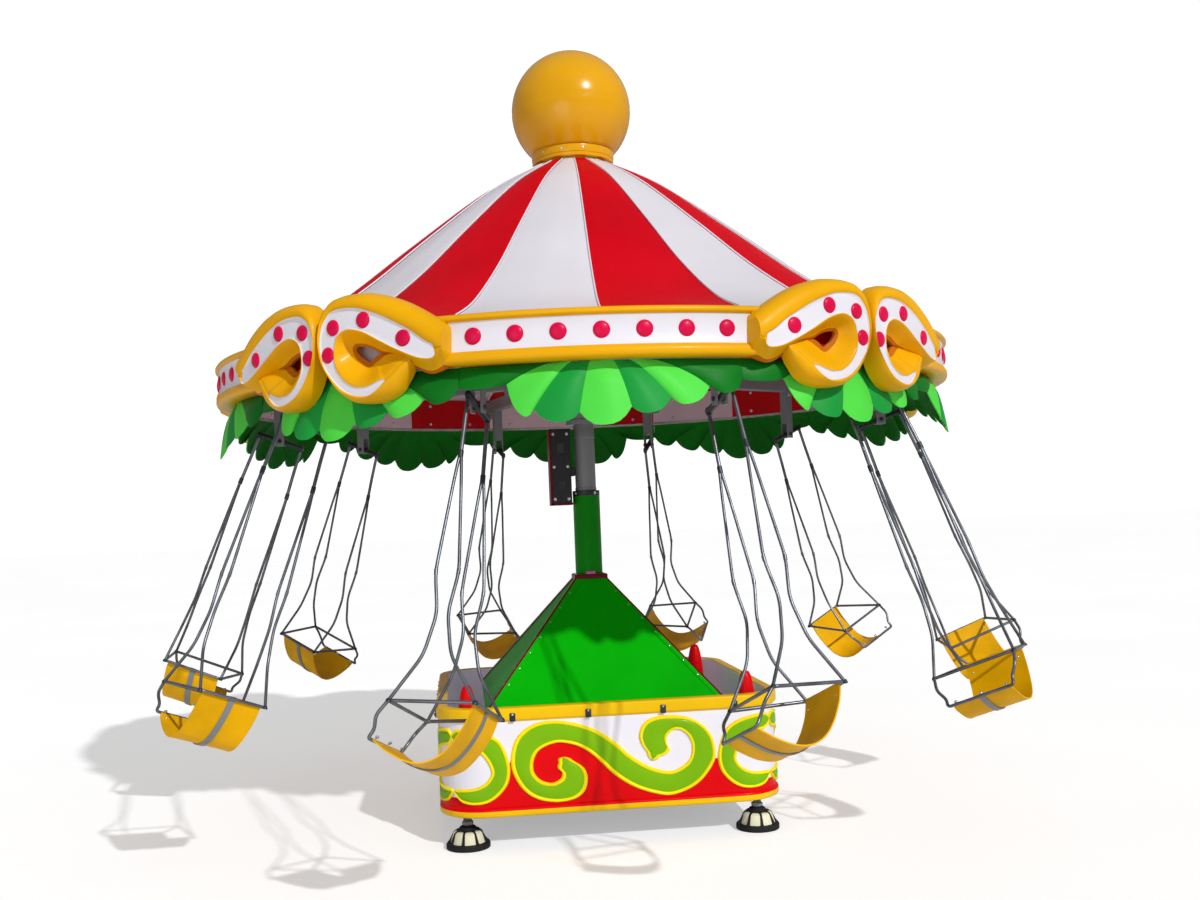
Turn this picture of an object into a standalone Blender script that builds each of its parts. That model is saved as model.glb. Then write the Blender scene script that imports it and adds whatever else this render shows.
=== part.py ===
"""Children's chair swing ride: a base tub on levelling feet, a pyramid cover, a mast, and a turning canopy
with a scrolled crown, a leaf garland and ten hanging chairs, shown flown out as the ride turns.

Units are metres, +Z is up, and the origin is on the ground under the mast's axis. The front faces -Y.
"""

import math

import bmesh
import bpy
from mathutils import Matrix, Vector

GAP = 0.0003

# Base tub
TUB_HALF = 0.648
TUB_CORNER = 0.166
TUB_BOTTOM = 0.126
TUB_TOP = 0.530
TUB_WALL = 0.008
RIM_HEIGHT = 0.048
RIM_PROUD = 0.012
RIM_LIP = 0.030
SKIRT_HEIGHT = 0.034
SKIRT_PROUD = 0.010
CORNER_STEPS = 4
FLOOR_LEVEL = 0.200
FLOOR_THICK = 0.006

# Feet and chassis
FOOT_SPREAD = 0.556
FOOT_RADIUS = 0.083
FOOT_TOP = 0.085
STEM_RADIUS = 0.017
BEAM_WIDTH = 0.080
BEAM_HEIGHT = 0.060
BEAM_REACH = 0.800

# Corner domes
DOME_X = 0.540
DOME_Y = 0.515
DOME_PROFILE = [(0.0410, FLOOR_LEVEL + FLOOR_THICK + GAP), (0.0395, 0.420), (0.0375, 0.470), (0.0345, 0.512)]
DOME_PROFILE += [(0.0310, 0.540), (0.0262, 0.566), (0.0200, 0.588), (0.0125, 0.600), (0.0, 0.605)]

# Pyramid cover
COVER_HALF = 0.447
COVER_EAVE = 0.505
COVER_TOP = 0.964
COVER_TOP_HALF = 0.0645
COVER_FLARE = 0.022
COVER_FLARE_DROP = 0.020
COVER_WALL = 0.006
COVER_SKIRT_INSET = 0.020
COVER_EAVE_INSET = 0.010
HIP_WING = 0.0257
HIP_THICK = 0.012
HIP_LIFT = 0.0004
HIP_COLLAR_PROUD = 0.006
HIP_COLLAR_HEIGHT = 0.020

# Mast
MAST_RADIUS = 0.0575
MAST_FOOT_RADIUS = 0.150
MAST_FOOT_THICK = 0.014
MAST_TOP = 1.337
INNER_RADIUS = 0.045
INNER_TOP = 1.617
DRIVE_LOW = 1.278
DRIVE_HIGH = 1.600
DRIVE_NEAR = 0.062
DRIVE_FAR = 0.154
DRIVE_DEPTH = 0.100
CLAMP_LOW = 1.400
CLAMP_HIGH = 1.440
CLAMP_HALF = 0.020

# Rotor
ROTOR_YAW = math.radians(-3.4)
HEAD_RADIUS = 0.075
HEAD_TOP = 1.900
POLE_RADIUS = 0.045
POLE_TOP = 2.7047
HUB_RADIUS = 0.120
ARM_LOW = 1.800
ARM_HIGH = 1.860
ARM_WIDTH = 0.040
HUB_FLANGE = 0.010
HUB_CLEARANCE = 0.0004
ROOF_THICK = 0.006
ROOF_SEGMENTS = 40
ROOF_PROFILE = [(0.150, 2.720), (0.414, 2.575), (0.735, 2.335)]
ROOF_PROFILE += [(1.017, 2.115), (1.273, 1.948), (1.450, 1.873)]
EDGE_RADIUS = 1.428
EDGE_BOTTOM = 1.707
ARM_REACH = 1.4199
COLLAR_NECK = 0.1465
COLLAR_RADIUS = 0.172
COLLAR_LOW = 2.705
COLLAR_HIGH = 2.770
BALL_RADIUS = 0.252
BALL_LEVEL = 2.948

# Crown and garland
MODULES = 5
BOARD_HALF_ANGLE = math.radians(20.5)
BOARD_LOW = 1.707
BOARD_HIGH = 1.865
BOARD_OUTER = 1.495
BOARD_CLEARANCE = 0.0018
SCROLL_ANGLE = math.radians(27.15)
SCROLL_LEVEL = 1.795
SCROLL_HALF_WIDTH = 0.213
SCROLL_HALF_HEIGHT = 0.186
SCROLL_INNER = 1.466
SCROLL_OUTER = 1.545
EYE_SHIFT = 0.060
EYE_DROP = 0.022
EYE_HALF_WIDTH = 0.060
EYE_HALF_HEIGHT = 0.036
LEAF_TOP = 1.7065
LEAF_TOP_RADIUS = 1.436
LEAF_TIP_RADIUS = 1.490
LEAF_TIP_LEVEL = 1.500
LEAF_EDGE_LEVEL = 1.625
LEAF_CURVE = 2.2
LOBE_DEPTH = 0.030
LOBE_CURVE = 2.5
LEAF_THICK = 0.006
LEAF_LOBES = 7
LOBE_STEPS = 3
FANS = 10

# Chairs
CHAIRS = 10
PIVOT_RADIUS = 1.280
PIVOT_LEVEL = 1.594
SWING = math.radians(21.5)
PIN_RADIUS = 0.008
PIN_HALF_LENGTH = 0.027
PIN_HOLE_RADIUS = 0.0092
CHEEK_INNER = 0.0153
CHEEK_THICK = 0.006
CHEEK_HALF = 0.020
FORK_DROP = 0.020
FORK_RISE = 0.045
BAR_HALF = 0.100
BAR_THICK = 0.018
RING_DROP = 1.000
RING_REAR = 0.132
RING_FRONT = -0.124
RING_REAR_HALF = 0.119
RING_FRONT_HALF = 0.148
RING_ROD = 0.0058
FRONT_BAR_GAP = 0.0018
HANGER_ROD = 0.0055
SPLIT_DROP = 0.220
SPLIT_HALF = 0.102
HANGER_BENDS = [(0.110, 0.038, 0.600), (0.113, 0.017, 0.730), (0.121, 0.043, 0.860)]
LOOP_HALF = 0.120
LOOP_SHOULDER = (0.036, 0.042)
SEAT_HALF = 0.109
SEAT_THICK = 0.004
SEAT_BENDS = [(0.105, -0.053), (0.069, -0.113), (0.026, -0.155), (-0.026, -0.171)]
SEAT_BENDS += [(-0.081, -0.162), (-0.132, -0.137), (-0.180, -0.104)]
STRAP_HALF = 0.013
STRAP_THICK = 0.004


def make_material(name, colour, roughness, metallic):
    material = bpy.data.materials.new(name)
    material.use_nodes = True
    shader = material.node_tree.nodes["Principled BSDF"]
    shader.inputs["Base Color"].default_value = (*colour, 1.0)
    shader.inputs["Roughness"].default_value = roughness
    shader.inputs["Metallic"].default_value = metallic
    return material


def clear_scene():
    for item in list(bpy.data.objects):
        bpy.data.objects.remove(item, do_unlink=True)


def finish_mesh(bm, name):
    """Turns a closed bmesh into a mesh whose faces point outwards."""
    bmesh.ops.recalc_face_normals(bm, faces=bm.faces)
    mesh = bpy.data.meshes.new(name)
    bm.to_mesh(mesh)
    bm.free()
    return mesh


def add_object(name, mesh, material, parent=None, round_angle=None):
    obj = bpy.data.objects.new(name, mesh)
    bpy.context.scene.collection.objects.link(obj)
    if not mesh.materials:
        mesh.materials.append(material)
    if round_angle is not None:
        mesh.shade_smooth()
        mesh.set_sharp_from_angle(angle=math.radians(round_angle))
    obj.parent = parent
    return obj


def add_empty(name, location, rotation, parent=None):
    empty = bpy.data.objects.new(name, None)
    bpy.context.scene.collection.objects.link(empty)
    empty.location = location
    empty.rotation_euler = rotation
    empty.parent = parent
    return empty


def loft(sections, closed_path=False, name="loft"):
    """Joins equal rings of points; an open path gets a cap at each end."""
    bm = bmesh.new()
    rings = [[bm.verts.new(point) for point in ring] for ring in sections]
    pairs = list(zip(rings, rings[1:]))
    if closed_path:
        pairs.append((rings[-1], rings[0]))
    for low, high in pairs:
        for i in range(len(low)):
            j = (i + 1) % len(low)
            bm.faces.new((low[i], low[j], high[j], high[i]))
    if not closed_path:
        bm.faces.new(rings[0])
        bm.faces.new(rings[-1])
    return finish_mesh(bm, name)


def turned(profile, segments, name="turned", phase=0.0):
    """Spins a profile of (radius, level) points that starts and ends on the axis."""
    bm = bmesh.new()
    rings = []
    for radius, level in profile:
        if radius == 0.0:
            rings.append([bm.verts.new((0.0, 0.0, level))])
            continue
        turns = [phase + 2 * math.pi * k / segments for k in range(segments)]
        rings.append([bm.verts.new((radius * math.cos(t), radius * math.sin(t), level)) for t in turns])
    for low, high in zip(rings, rings[1:]):
        for i in range(segments):
            j = (i + 1) % segments
            corners = [low[i % len(low)], low[j % len(low)], high[j % len(high)], high[i % len(high)]]
            bm.faces.new(list(dict.fromkeys(corners)))
    return finish_mesh(bm, name)


def rod(radius, low, high, segments, name="rod"):
    """A plain cylinder along Z."""
    return turned([(0.0, low), (radius, low), (radius, high), (0.0, high)], segments, name)


def turned_ring(loop, segments, name="ring", phase=0.0):
    """Spins a closed loop of (radius, level) points that stays off the axis."""
    sections = []
    for k in range(segments):
        t = phase + 2 * math.pi * k / segments
        sections.append([(r * math.cos(t), r * math.sin(t), z) for r, z in loop])
    return loft(sections, closed_path=True, name=name)


def block(low, high, name="block"):
    """A box between two corners."""
    outline = [(low[0], low[1]), (high[0], low[1]), (high[0], high[1]), (low[0], high[1])]
    return prism(outline, low[2], high[2], name)


def prism(outline, low, high, name="prism"):
    """A plan outline raised between two levels."""
    return loft([[(x, y, z) for x, y in outline] for z in (low, high)], name=name)


def side_prism(outline, half_width, name="side_prism"):
    """An outline of (y, z) points widened along X."""
    return loft([[(x, y, z) for y, z in outline] for x in (-half_width, half_width)], name=name)


def tube(points, radius, sides=6, name="tube"):
    """A rod with mitred bends through the points."""
    path = [Vector(p) for p in points]
    steps = [(b - a).normalized() for a, b in zip(path, path[1:])]
    across = steps[0].orthogonal().normalized()
    sections = []
    for i, centre in enumerate(path):
        before = steps[max(i - 1, 0)]
        after = steps[min(i, len(steps) - 1)]
        tangent = (before + after).normalized()
        across = (across - tangent * across.dot(tangent)).normalized()
        other = tangent.cross(across)
        stretch = 1.0 / max(tangent.dot(after), 0.5)
        turn_axis = before.cross(after)
        ring = []
        for k in range(sides):
            angle = 2 * math.pi * k / sides
            offset = (across * math.cos(angle) + other * math.sin(angle)) * radius
            if turn_axis.length > 1e-6:
                outward = turn_axis.normalized().cross(tangent)
                offset += outward * offset.dot(outward) * (stretch - 1.0)
            ring.append(centre + offset)
        sections.append(ring)
    return loft(sections, name=name)


def moved(mesh, matrix):
    mesh.transform(matrix)
    return mesh


def combined(operation, first, others, name):
    """Applies one exact Boolean after another and returns the resulting mesh."""
    body = bpy.data.objects.new("body_" + name, first)
    bpy.context.scene.collection.objects.link(body)
    tools = []
    for k, mesh in enumerate(others):
        tool = bpy.data.objects.new(f"tool_{name}_{k}", mesh)
        bpy.context.scene.collection.objects.link(tool)
        tools.append(tool)
        modifier = body.modifiers.new(f"{operation.lower()}_{k}", "BOOLEAN")
        modifier.operation = operation
        modifier.solver = "EXACT"
        modifier.object = tool
    bpy.context.view_layer.update()
    graph = bpy.context.evaluated_depsgraph_get()
    result = bpy.data.meshes.new_from_object(body.evaluated_get(graph))
    result.name = name
    for item in [body, *tools]:
        bpy.data.objects.remove(item, do_unlink=True)
    return result


def fused(pieces, name):
    return combined("UNION", pieces[0], pieces[1:], name)


def cut(body, tools, name):
    return combined("DIFFERENCE", body, tools, name)


def rounded_square_path(half, corner, steps):
    """Points and outward normals from one corner's middle to the next along the -Y side."""
    inner = half - corner
    path = []
    for k in range(steps + 1):
        angle = math.radians(-135 + 45 * k / steps)
        path.append((-inner, -inner, angle))
    for k in range(steps + 1):
        angle = math.radians(-90 + 45 * k / steps)
        path.append((inner, -inner, angle))
    return [
        (x + corner * math.cos(a), y + corner * math.sin(a), math.cos(a), math.sin(a)) for x, y, a in path
    ]


def build_tub_panel(name, quarter_turn, material):
    """One side of the tub from corner to corner, with its rim above and its skirt below."""
    profile = [
        (SKIRT_PROUD, TUB_BOTTOM),
        (SKIRT_PROUD, TUB_BOTTOM + SKIRT_HEIGHT),
        (0.0, TUB_BOTTOM + SKIRT_HEIGHT + 0.004),
        (0.0, TUB_TOP - RIM_HEIGHT - 0.004),
        (RIM_PROUD, TUB_TOP - RIM_HEIGHT),
        (RIM_PROUD, TUB_TOP),
        (-RIM_LIP, TUB_TOP),
        (-RIM_LIP, TUB_TOP - 0.012),
        (-TUB_WALL, TUB_TOP - 0.012),
        (-TUB_WALL, TUB_BOTTOM),
    ]
    path = rounded_square_path(TUB_HALF, TUB_CORNER, CORNER_STEPS)
    sections = []
    for i, (x, y, nx, ny) in enumerate(path):
        shift = 0.0
        if i == 0:
            shift = GAP
        if i == len(path) - 1:
            shift = -GAP
        sections.append([(x + nx * d + shift, y + ny * d, z) for d, z in profile])
    mesh = moved(loft(sections, name=name), Matrix.Rotation(quarter_turn, 4, "Z"))
    return add_object(name, mesh, material, round_angle=40)


def build_tub_floor(material):
    """The floor plate rests on the chassis and holds the foot of each wall."""
    path = rounded_square_path(TUB_HALF, TUB_CORNER, CORNER_STEPS)
    inset = TUB_WALL + GAP
    outline = []
    for quarter in range(4):
        turn = Matrix.Rotation(quarter * math.pi / 2, 2)
        for x, y, nx, ny in path[:-1]:
            outline.append(tuple(turn @ Vector((x - nx * inset, y - ny * inset))))
    mesh = prism(outline, FLOOR_LEVEL + GAP, FLOOR_LEVEL + FLOOR_THICK, "tub_floor")
    return add_object("tub_floor", mesh, material)


def build_chassis(material):
    """Two box beams crossed on the diagonals."""
    low = FLOOR_LEVEL - BEAM_HEIGHT
    half = BEAM_WIDTH / 2
    beam = block((-BEAM_REACH, -half, low), (BEAM_REACH, half, FLOOR_LEVEL))
    cross = beam.copy()
    moved(beam, Matrix.Rotation(math.radians(45), 4, "Z"))
    moved(cross, Matrix.Rotation(math.radians(-45), 4, "Z"))
    return add_object("chassis_frame", fused([beam, cross], "chassis_frame"), material)


def build_feet(material):
    """A pad, a ribbed collar and a stem up to the beam, under each corner."""
    profile = [
        (0.0, 0.0),
        (FOOT_RADIUS, 0.0),
        (FOOT_RADIUS, 0.024),
        (FOOT_RADIUS * 0.86, 0.034),
        (FOOT_RADIUS * 0.90, 0.050),
        (FOOT_RADIUS * 0.66, 0.062),
        (FOOT_RADIUS * 0.66, FOOT_TOP),
        (STEM_RADIUS, FOOT_TOP),
        (STEM_RADIUS, FLOOR_LEVEL - BEAM_HEIGHT - GAP),
        (0.0, FLOOR_LEVEL - BEAM_HEIGHT - GAP),
    ]
    mesh = turned(profile, 12, "levelling_foot")
    corners = [(-1, -1), (1, -1), (1, 1), (-1, 1)]
    for number, (sx, sy) in enumerate(corners, start=1):
        foot = add_object(f"levelling_foot_{number}", mesh, material, round_angle=35)
        foot.location = (sx * FOOT_SPREAD, sy * FOOT_SPREAD, 0.0)


def build_domes(material):
    """Blunt red posts that stand on the tub floor, in both front corners and the right rear one."""
    mesh = turned([(0.0, DOME_PROFILE[0][1]), *DOME_PROFILE], 14, "corner_dome")
    for side, x, y in (("left", -DOME_X, -DOME_Y), ("right", DOME_X, -DOME_Y), ("rear", DOME_X, DOME_Y)):
        dome = add_object(f"corner_dome_{side}", mesh, material, round_angle=60)
        dome.location = (x, y, 0.0)


def cover_levels():
    """(half width, level) of the cover's outside from the floor to the top."""
    floor = FLOOR_LEVEL + FLOOR_THICK + GAP
    skirt = COVER_HALF - COVER_SKIRT_INSET
    return [
        (skirt, floor),
        (skirt, COVER_EAVE - COVER_FLARE_DROP),
        (COVER_HALF + COVER_FLARE, COVER_EAVE - COVER_FLARE_DROP),
        (COVER_HALF - COVER_EAVE_INSET, COVER_EAVE + COVER_FLARE_DROP),
        (COVER_TOP_HALF, COVER_TOP),
    ]


def build_cover_panel(name, quarter_turn, material):
    """One face of the pyramid with the upright wall under it, mitred at the hips."""
    outer = cover_levels()
    inner = [(half - COVER_WALL, level) for half, level in outer]
    eave = COVER_EAVE - COVER_FLARE_DROP + COVER_WALL
    inner[1] = (inner[1][0], eave)
    inner[2] = (inner[1][0] + 0.001, eave + 0.001)
    loop = outer + inner[::-1]
    sections = []
    for side in (-1, 1):
        sections.append([(side * (half - GAP), -half, level) for half, level in loop])
    mesh = moved(loft(sections, name=name), Matrix.Rotation(quarter_turn, 4, "Z"))
    return add_object(name, mesh, material)


def build_cover_hips(material):
    """Angle strips over the four hips, joined by a square collar round the mast."""
    half = COVER_TOP_HALF + HIP_COLLAR_PROUD
    plate = block((-half, -half, COVER_TOP + GAP), (half, half, COVER_TOP + HIP_COLLAR_HEIGHT))
    bore_low = COVER_TOP - HIP_COLLAR_HEIGHT
    bore_high = COVER_TOP + 2 * HIP_COLLAR_HEIGHT
    pieces = [cut(plate, [rod(MAST_RADIUS + GAP, bore_low, bore_high, 24)], "hip_collar")]
    raised = Vector((0.0014, -0.0014, HIP_THICK))
    sections = []
    for half, level in reversed(cover_levels()[2:]):
        corner = Vector((half + HIP_LIFT, -half - HIP_LIFT, level + HIP_LIFT))
        wings = (corner - Vector((HIP_WING, 0, 0)), corner, corner + Vector((0, HIP_WING, 0)))
        sections.append([*wings, *(point + raised for point in reversed(wings))])
    strip = loft(sections, name="hip")
    for quarter in range(4):
        pieces.append(moved(strip.copy(), Matrix.Rotation(quarter * math.pi / 2, 4, "Z")))
    return add_object("cover_hips", fused(pieces, "cover_hips"), material)


def build_mast(green, grey):
    floor = FLOOR_LEVEL + FLOOR_THICK + GAP
    column = [
        (0.0, floor),
        (MAST_FOOT_RADIUS, floor),
        (MAST_FOOT_RADIUS, floor + MAST_FOOT_THICK),
        (MAST_RADIUS, floor + MAST_FOOT_THICK),
        (MAST_RADIUS, MAST_TOP),
        (0.0, MAST_TOP),
    ]
    add_object("mast_column", turned(column, 24, "mast_column"), green, round_angle=35)
    inner = rod(INNER_RADIUS, MAST_TOP + GAP, INNER_TOP, 20, "mast_inner")
    add_object("mast_inner", inner, grey, round_angle=35)


def build_drive_box(material):
    """A box on the -X side of the mast, with a clamp foot that reaches the green tube."""
    half = DRIVE_DEPTH / 2
    body = block((-DRIVE_FAR, -half, DRIVE_LOW), (-DRIVE_NEAR, half, DRIVE_HIGH))
    clamp_far = -DRIVE_NEAR - CLAMP_HALF / 2
    foot = block((clamp_far, -CLAMP_HALF, CLAMP_LOW), (-INNER_RADIUS - GAP, CLAMP_HALF, CLAMP_HIGH))
    return add_object("drive_box", fused([body, foot], "drive_box"), material)


def build_mast_head(material, rotor):
    """The bearing head over the mast and the pole that carries the top of the roof."""
    profile = [
        (0.0, INNER_TOP + GAP),
        (HEAD_RADIUS, INNER_TOP + GAP),
        (HEAD_RADIUS, HEAD_TOP),
        (POLE_RADIUS, HEAD_TOP),
        (POLE_RADIUS, POLE_TOP),
        (0.0, POLE_TOP),
    ]
    return add_object("mast_head", turned(profile, 20, "mast_head"), material, rotor, round_angle=35)


def build_arm():
    """One arm along +X with the forked post that carries a chair's pin along Y."""
    half = ARM_WIDTH / 2
    arm = block((HUB_RADIUS - half, -half, ARM_LOW), (ARM_REACH, half, ARM_HIGH))
    outer = CHEEK_INNER + CHEEK_THICK
    low = PIVOT_LEVEL - FORK_DROP
    near = PIVOT_RADIUS - CHEEK_HALF
    far = PIVOT_RADIUS + CHEEK_HALF
    post = block((near, -outer, low), (far, outer, (ARM_LOW + ARM_HIGH) / 2))
    over = CHEEK_HALF / 2
    slot = block((near - over, -CHEEK_INNER, low - over), (far + over, CHEEK_INNER, PIVOT_LEVEL + FORK_RISE))
    bore = rod(PIN_HOLE_RADIUS, -2 * outer, 2 * outer, 8)
    bore.transform(Matrix.Rotation(math.radians(90), 4, "X"))
    bore.transform(Matrix.Translation((PIVOT_RADIUS, 0.0, PIVOT_LEVEL)))
    return fused([arm, cut(post, [slot, bore], "fork")], "arm")


def chair_angle(number):
    """Angle from -Y towards +X of chair number 0 to 9 on the rotor."""
    return math.radians(360.0 / CHAIRS * (number - 0.5))


def build_canopy_frame(material, rotor):
    inner = HEAD_RADIUS + HUB_CLEARANCE
    low = ARM_LOW - HUB_FLANGE
    high = ARM_HIGH + HUB_FLANGE
    loop = [(inner, low), (HUB_RADIUS, low), (HUB_RADIUS, high), (inner, high)]
    pieces = [turned_ring(loop, 20, "hub")]
    arm = build_arm()
    for number in range(CHAIRS):
        turn = Matrix.Rotation(chair_angle(number) - math.pi / 2, 4, "Z")
        pieces.append(moved(arm.copy(), turn))
    return add_object("canopy_frame", fused(pieces, "canopy_frame"), material, rotor)


def build_roof(material, rotor):
    """The cone, one sheet thick, resting on the top of its turned-down edge."""
    rim_radius, rim_level = ROOF_PROFILE[-1]
    inner = [(r - ROOF_THICK / 3, z - ROOF_THICK * 1.2) for r, z in ROOF_PROFILE[:-1]]
    inner.append((EDGE_RADIUS - ROOF_THICK, rim_level - ROOF_THICK * 0.2))
    rim = [(rim_radius, rim_level - ROOF_THICK), (EDGE_RADIUS - ROOF_THICK, rim_level - ROOF_THICK)]
    mesh = turned_ring(ROOF_PROFILE + rim + inner[::-1], ROOF_SEGMENTS, "roof_shell", phase=-math.pi / 2)
    return add_object("roof_shell", mesh, material, rotor, round_angle=35)


def build_roof_edge(material, rotor):
    """The upright ring under the roof's rim, which the crown boards are bolted to."""
    inner = EDGE_RADIUS - ROOF_THICK
    top = ROOF_PROFILE[-1][1] - ROOF_THICK - GAP
    loop = [(inner, EDGE_BOTTOM), (EDGE_RADIUS, EDGE_BOTTOM), (EDGE_RADIUS, top), (inner, top)]
    mesh = turned_ring(loop, ROOF_SEGMENTS, "roof_edge", phase=-math.pi / 2)
    return add_object("roof_edge", mesh, material, rotor, round_angle=35)


def build_finial(material, rotor):
    seat = ROOF_PROFILE[0][1] + GAP
    collar = [
        (0.0, COLLAR_LOW),
        (COLLAR_NECK, COLLAR_LOW),
        (COLLAR_NECK, seat),
        (COLLAR_RADIUS, seat),
        (COLLAR_RADIUS + 0.003, COLLAR_HIGH),
        (0.0, COLLAR_HIGH),
    ]
    add_object("roof_collar", turned(collar, 24, "roof_collar"), material, rotor, round_angle=35)
    base = COLLAR_HIGH + GAP
    start = math.asin((base - BALL_LEVEL) / BALL_RADIUS)
    steps = 9
    profile = [(0.0, base)]
    for k in range(steps):
        angle = start + (math.pi / 2 - start) * k / steps
        profile.append((BALL_RADIUS * math.cos(angle), BALL_LEVEL + BALL_RADIUS * math.sin(angle)))
    profile.append((0.0, BALL_LEVEL + BALL_RADIUS))
    add_object("finial_ball", turned(profile, 24, "finial_ball"), material, rotor, round_angle=50)


def on_cylinder(angle, radius, level):
    """A point at an angle from -Y towards +X."""
    return (radius * math.sin(angle), -radius * math.cos(angle), level)


def build_crown_module(number, material, rotor):
    """A curved board with a rolled scroll at each end, made in place for the module at the front."""
    inner = EDGE_RADIUS + BOARD_CLEARANCE
    steps = 10
    sections = []
    for k in range(steps + 1):
        angle = BOARD_HALF_ANGLE * (2 * k / steps - 1)
        ring = [(inner, BOARD_LOW), (BOARD_OUTER, BOARD_LOW), (BOARD_OUTER, BOARD_HIGH), (inner, BOARD_HIGH)]
        sections.append([on_cylinder(angle, r, z) for r, z in ring])
    pieces = [loft(sections, name="board")]
    for side in (-1, 1):
        pieces.append(build_scroll(side))
    mesh = fused(pieces, f"crown_{number}")
    return add_object(f"crown_{number}", mesh, material, add_module_empty(number, rotor), round_angle=35)


def build_scroll(side):
    """A ring with an off-centre eye, bent to the crown's curve."""
    steps = 20
    sections = []
    for k in range(steps):
        t = 2 * math.pi * k / steps
        out_s = SCROLL_HALF_WIDTH * math.cos(t)
        out_z = SCROLL_HALF_HEIGHT * math.sin(t)
        eye_s = EYE_SHIFT + EYE_HALF_WIDTH * math.cos(t)
        eye_z = EYE_HALF_HEIGHT * math.sin(t) - EYE_DROP
        ring = []
        for s, z, radius in (
            (out_s, out_z, SCROLL_INNER),
            (out_s, out_z, SCROLL_OUTER),
            (eye_s, eye_z, SCROLL_OUTER),
            (eye_s, eye_z, SCROLL_INNER),
        ):
            angle = side * (SCROLL_ANGLE + s / BOARD_OUTER)
            ring.append(on_cylinder(angle, radius, SCROLL_LEVEL + z))
        sections.append(ring)
    return loft(sections, closed_path=True, name="scroll")


def add_module_empty(number, rotor):
    turn = (number - 1) * 2 * math.pi / MODULES
    return add_empty(f"module_{number}", (0, 0, 0), (0, 0, turn), rotor)


def leaf_outline(step_angle):
    """Bottom level of a fan at an angle from its middle: seven lobes, the middle one deepest."""
    half = math.pi / FANS
    reach = abs(step_angle) / half
    fan = LEAF_TIP_LEVEL + (LEAF_EDGE_LEVEL - LEAF_TIP_LEVEL) * reach**LEAF_CURVE
    lobe = 2 * half / LEAF_LOBES
    inside = ((step_angle + half) / lobe) % 1.0
    return fan + LOBE_DEPTH * (2 * abs(inside - 0.5)) ** LOBE_CURVE


def build_garland(number, material, rotor):
    """Two leaf fans side by side: one under the board's middle and one under the joint after it."""
    steps = 2 * LEAF_LOBES * LOBE_STEPS
    fan = 2 * math.pi / FANS
    start = -fan / 2
    end_gap = GAP / LEAF_TOP_RADIUS
    sections = []
    for k in range(steps + 1):
        angle = start + 2 * fan * k / steps
        if k == 0:
            angle += end_gap
        if k == steps:
            angle -= end_gap
        own = (angle - start) % fan - fan / 2
        bottom = leaf_outline(own)
        drop = (LEAF_TOP - bottom) / (LEAF_TOP - LEAF_TIP_LEVEL)
        radius = LEAF_TOP_RADIUS + (LEAF_TIP_RADIUS - LEAF_TOP_RADIUS) * drop
        ring = [
            (LEAF_TOP_RADIUS - LEAF_THICK, LEAF_TOP),
            (radius - LEAF_THICK, bottom),
            (radius, bottom),
            (LEAF_TOP_RADIUS, LEAF_TOP),
        ]
        sections.append([on_cylinder(angle, r, z) for r, z in ring])
    mesh = loft(sections, name=f"garland_{number}")
    return add_object(f"garland_{number}", mesh, material, add_module_empty(number, rotor), round_angle=35)


def seat_line():
    """(y, level) along the middle of the seat sheet, from the top of the back to the front edge."""
    rear = RING_REAR - RING_ROD - GAP - SEAT_THICK / 2
    return [(y, z - RING_DROP) for y, z in [(rear, SEAT_THICK), *SEAT_BENDS]]


def offset_line(line, distance):
    """The line moved to its lower side by a distance."""
    moved_line = []
    for i, (y, z) in enumerate(line):
        before = Vector(line[max(i - 1, 0)])
        after = Vector(line[min(i + 1, len(line) - 1)])
        along = (after - before).normalized()
        moved_line.append((y - along.y * distance, z + along.x * distance))
    return moved_line


def build_seat_mesh():
    line = seat_line()
    above = offset_line(line, -SEAT_THICK / 2)
    below = offset_line(line, SEAT_THICK / 2)
    return side_prism(above + below[::-1], SEAT_HALF, "chair_seat")


def build_chair_frame_mesh():
    """Pin, top bar, hanger rods, arm ring, front loop and the strap under the seat, hanging straight."""
    half_bar = BAR_THICK / 2
    across = Matrix.Rotation(math.radians(90), 4, "X")
    pin = moved(rod(PIN_RADIUS, -PIN_HALF_LENGTH, PIN_HALF_LENGTH, 8), across)
    pieces = [block((-BAR_HALF, -half_bar, -half_bar), (BAR_HALF, half_bar, half_bar)), pin]
    rear = [(-RING_REAR_HALF, RING_REAR, -RING_DROP), (RING_REAR_HALF, RING_REAR, -RING_DROP)]
    front = [(RING_FRONT_HALF, RING_FRONT, -RING_DROP), (-RING_FRONT_HALF, RING_FRONT, -RING_DROP)]
    corners = [Vector(point) for point in rear + front]
    for start, end in zip(corners, corners[1:] + corners[:1]):
        along = (end - start).normalized() * RING_ROD * 0.9
        pieces.append(tube([start - along, end + along], RING_ROD))
    for side in (-1, 1):
        pieces += build_hangers(side)
    pieces.append(build_front_loop())
    pieces.append(build_strap())
    return fused(pieces, "chair_frame")


def build_hangers(side):
    """One strand from the end of the top bar, and the two bent rods that it splits into."""
    bar_end = BAR_HALF - BAR_THICK / 2
    rods = [tube([(side * bar_end, 0.0, 0.0), (side * SPLIT_HALF, 0.0, -SPLIT_DROP)], HANGER_ROD * 1.3, 5)]
    for sign, ring_y, ring_half in ((-1, RING_FRONT, RING_FRONT_HALF), (1, RING_REAR, RING_REAR_HALF)):
        path = [(side * SPLIT_HALF, 0.0, HANGER_ROD - SPLIT_DROP)]
        path += [(side * x, sign * y, -drop) for x, y, drop in HANGER_BENDS]
        path.append((side * ring_half, ring_y, -RING_DROP))
        rods.append(tube(path, HANGER_ROD, 4))
    return rods


def front_bar():
    """(y, level) of the rod along the seat's front edge."""
    front_y, front_z = seat_line()[-1]
    return (front_y - RING_ROD - FRONT_BAR_GAP, front_z)


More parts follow.
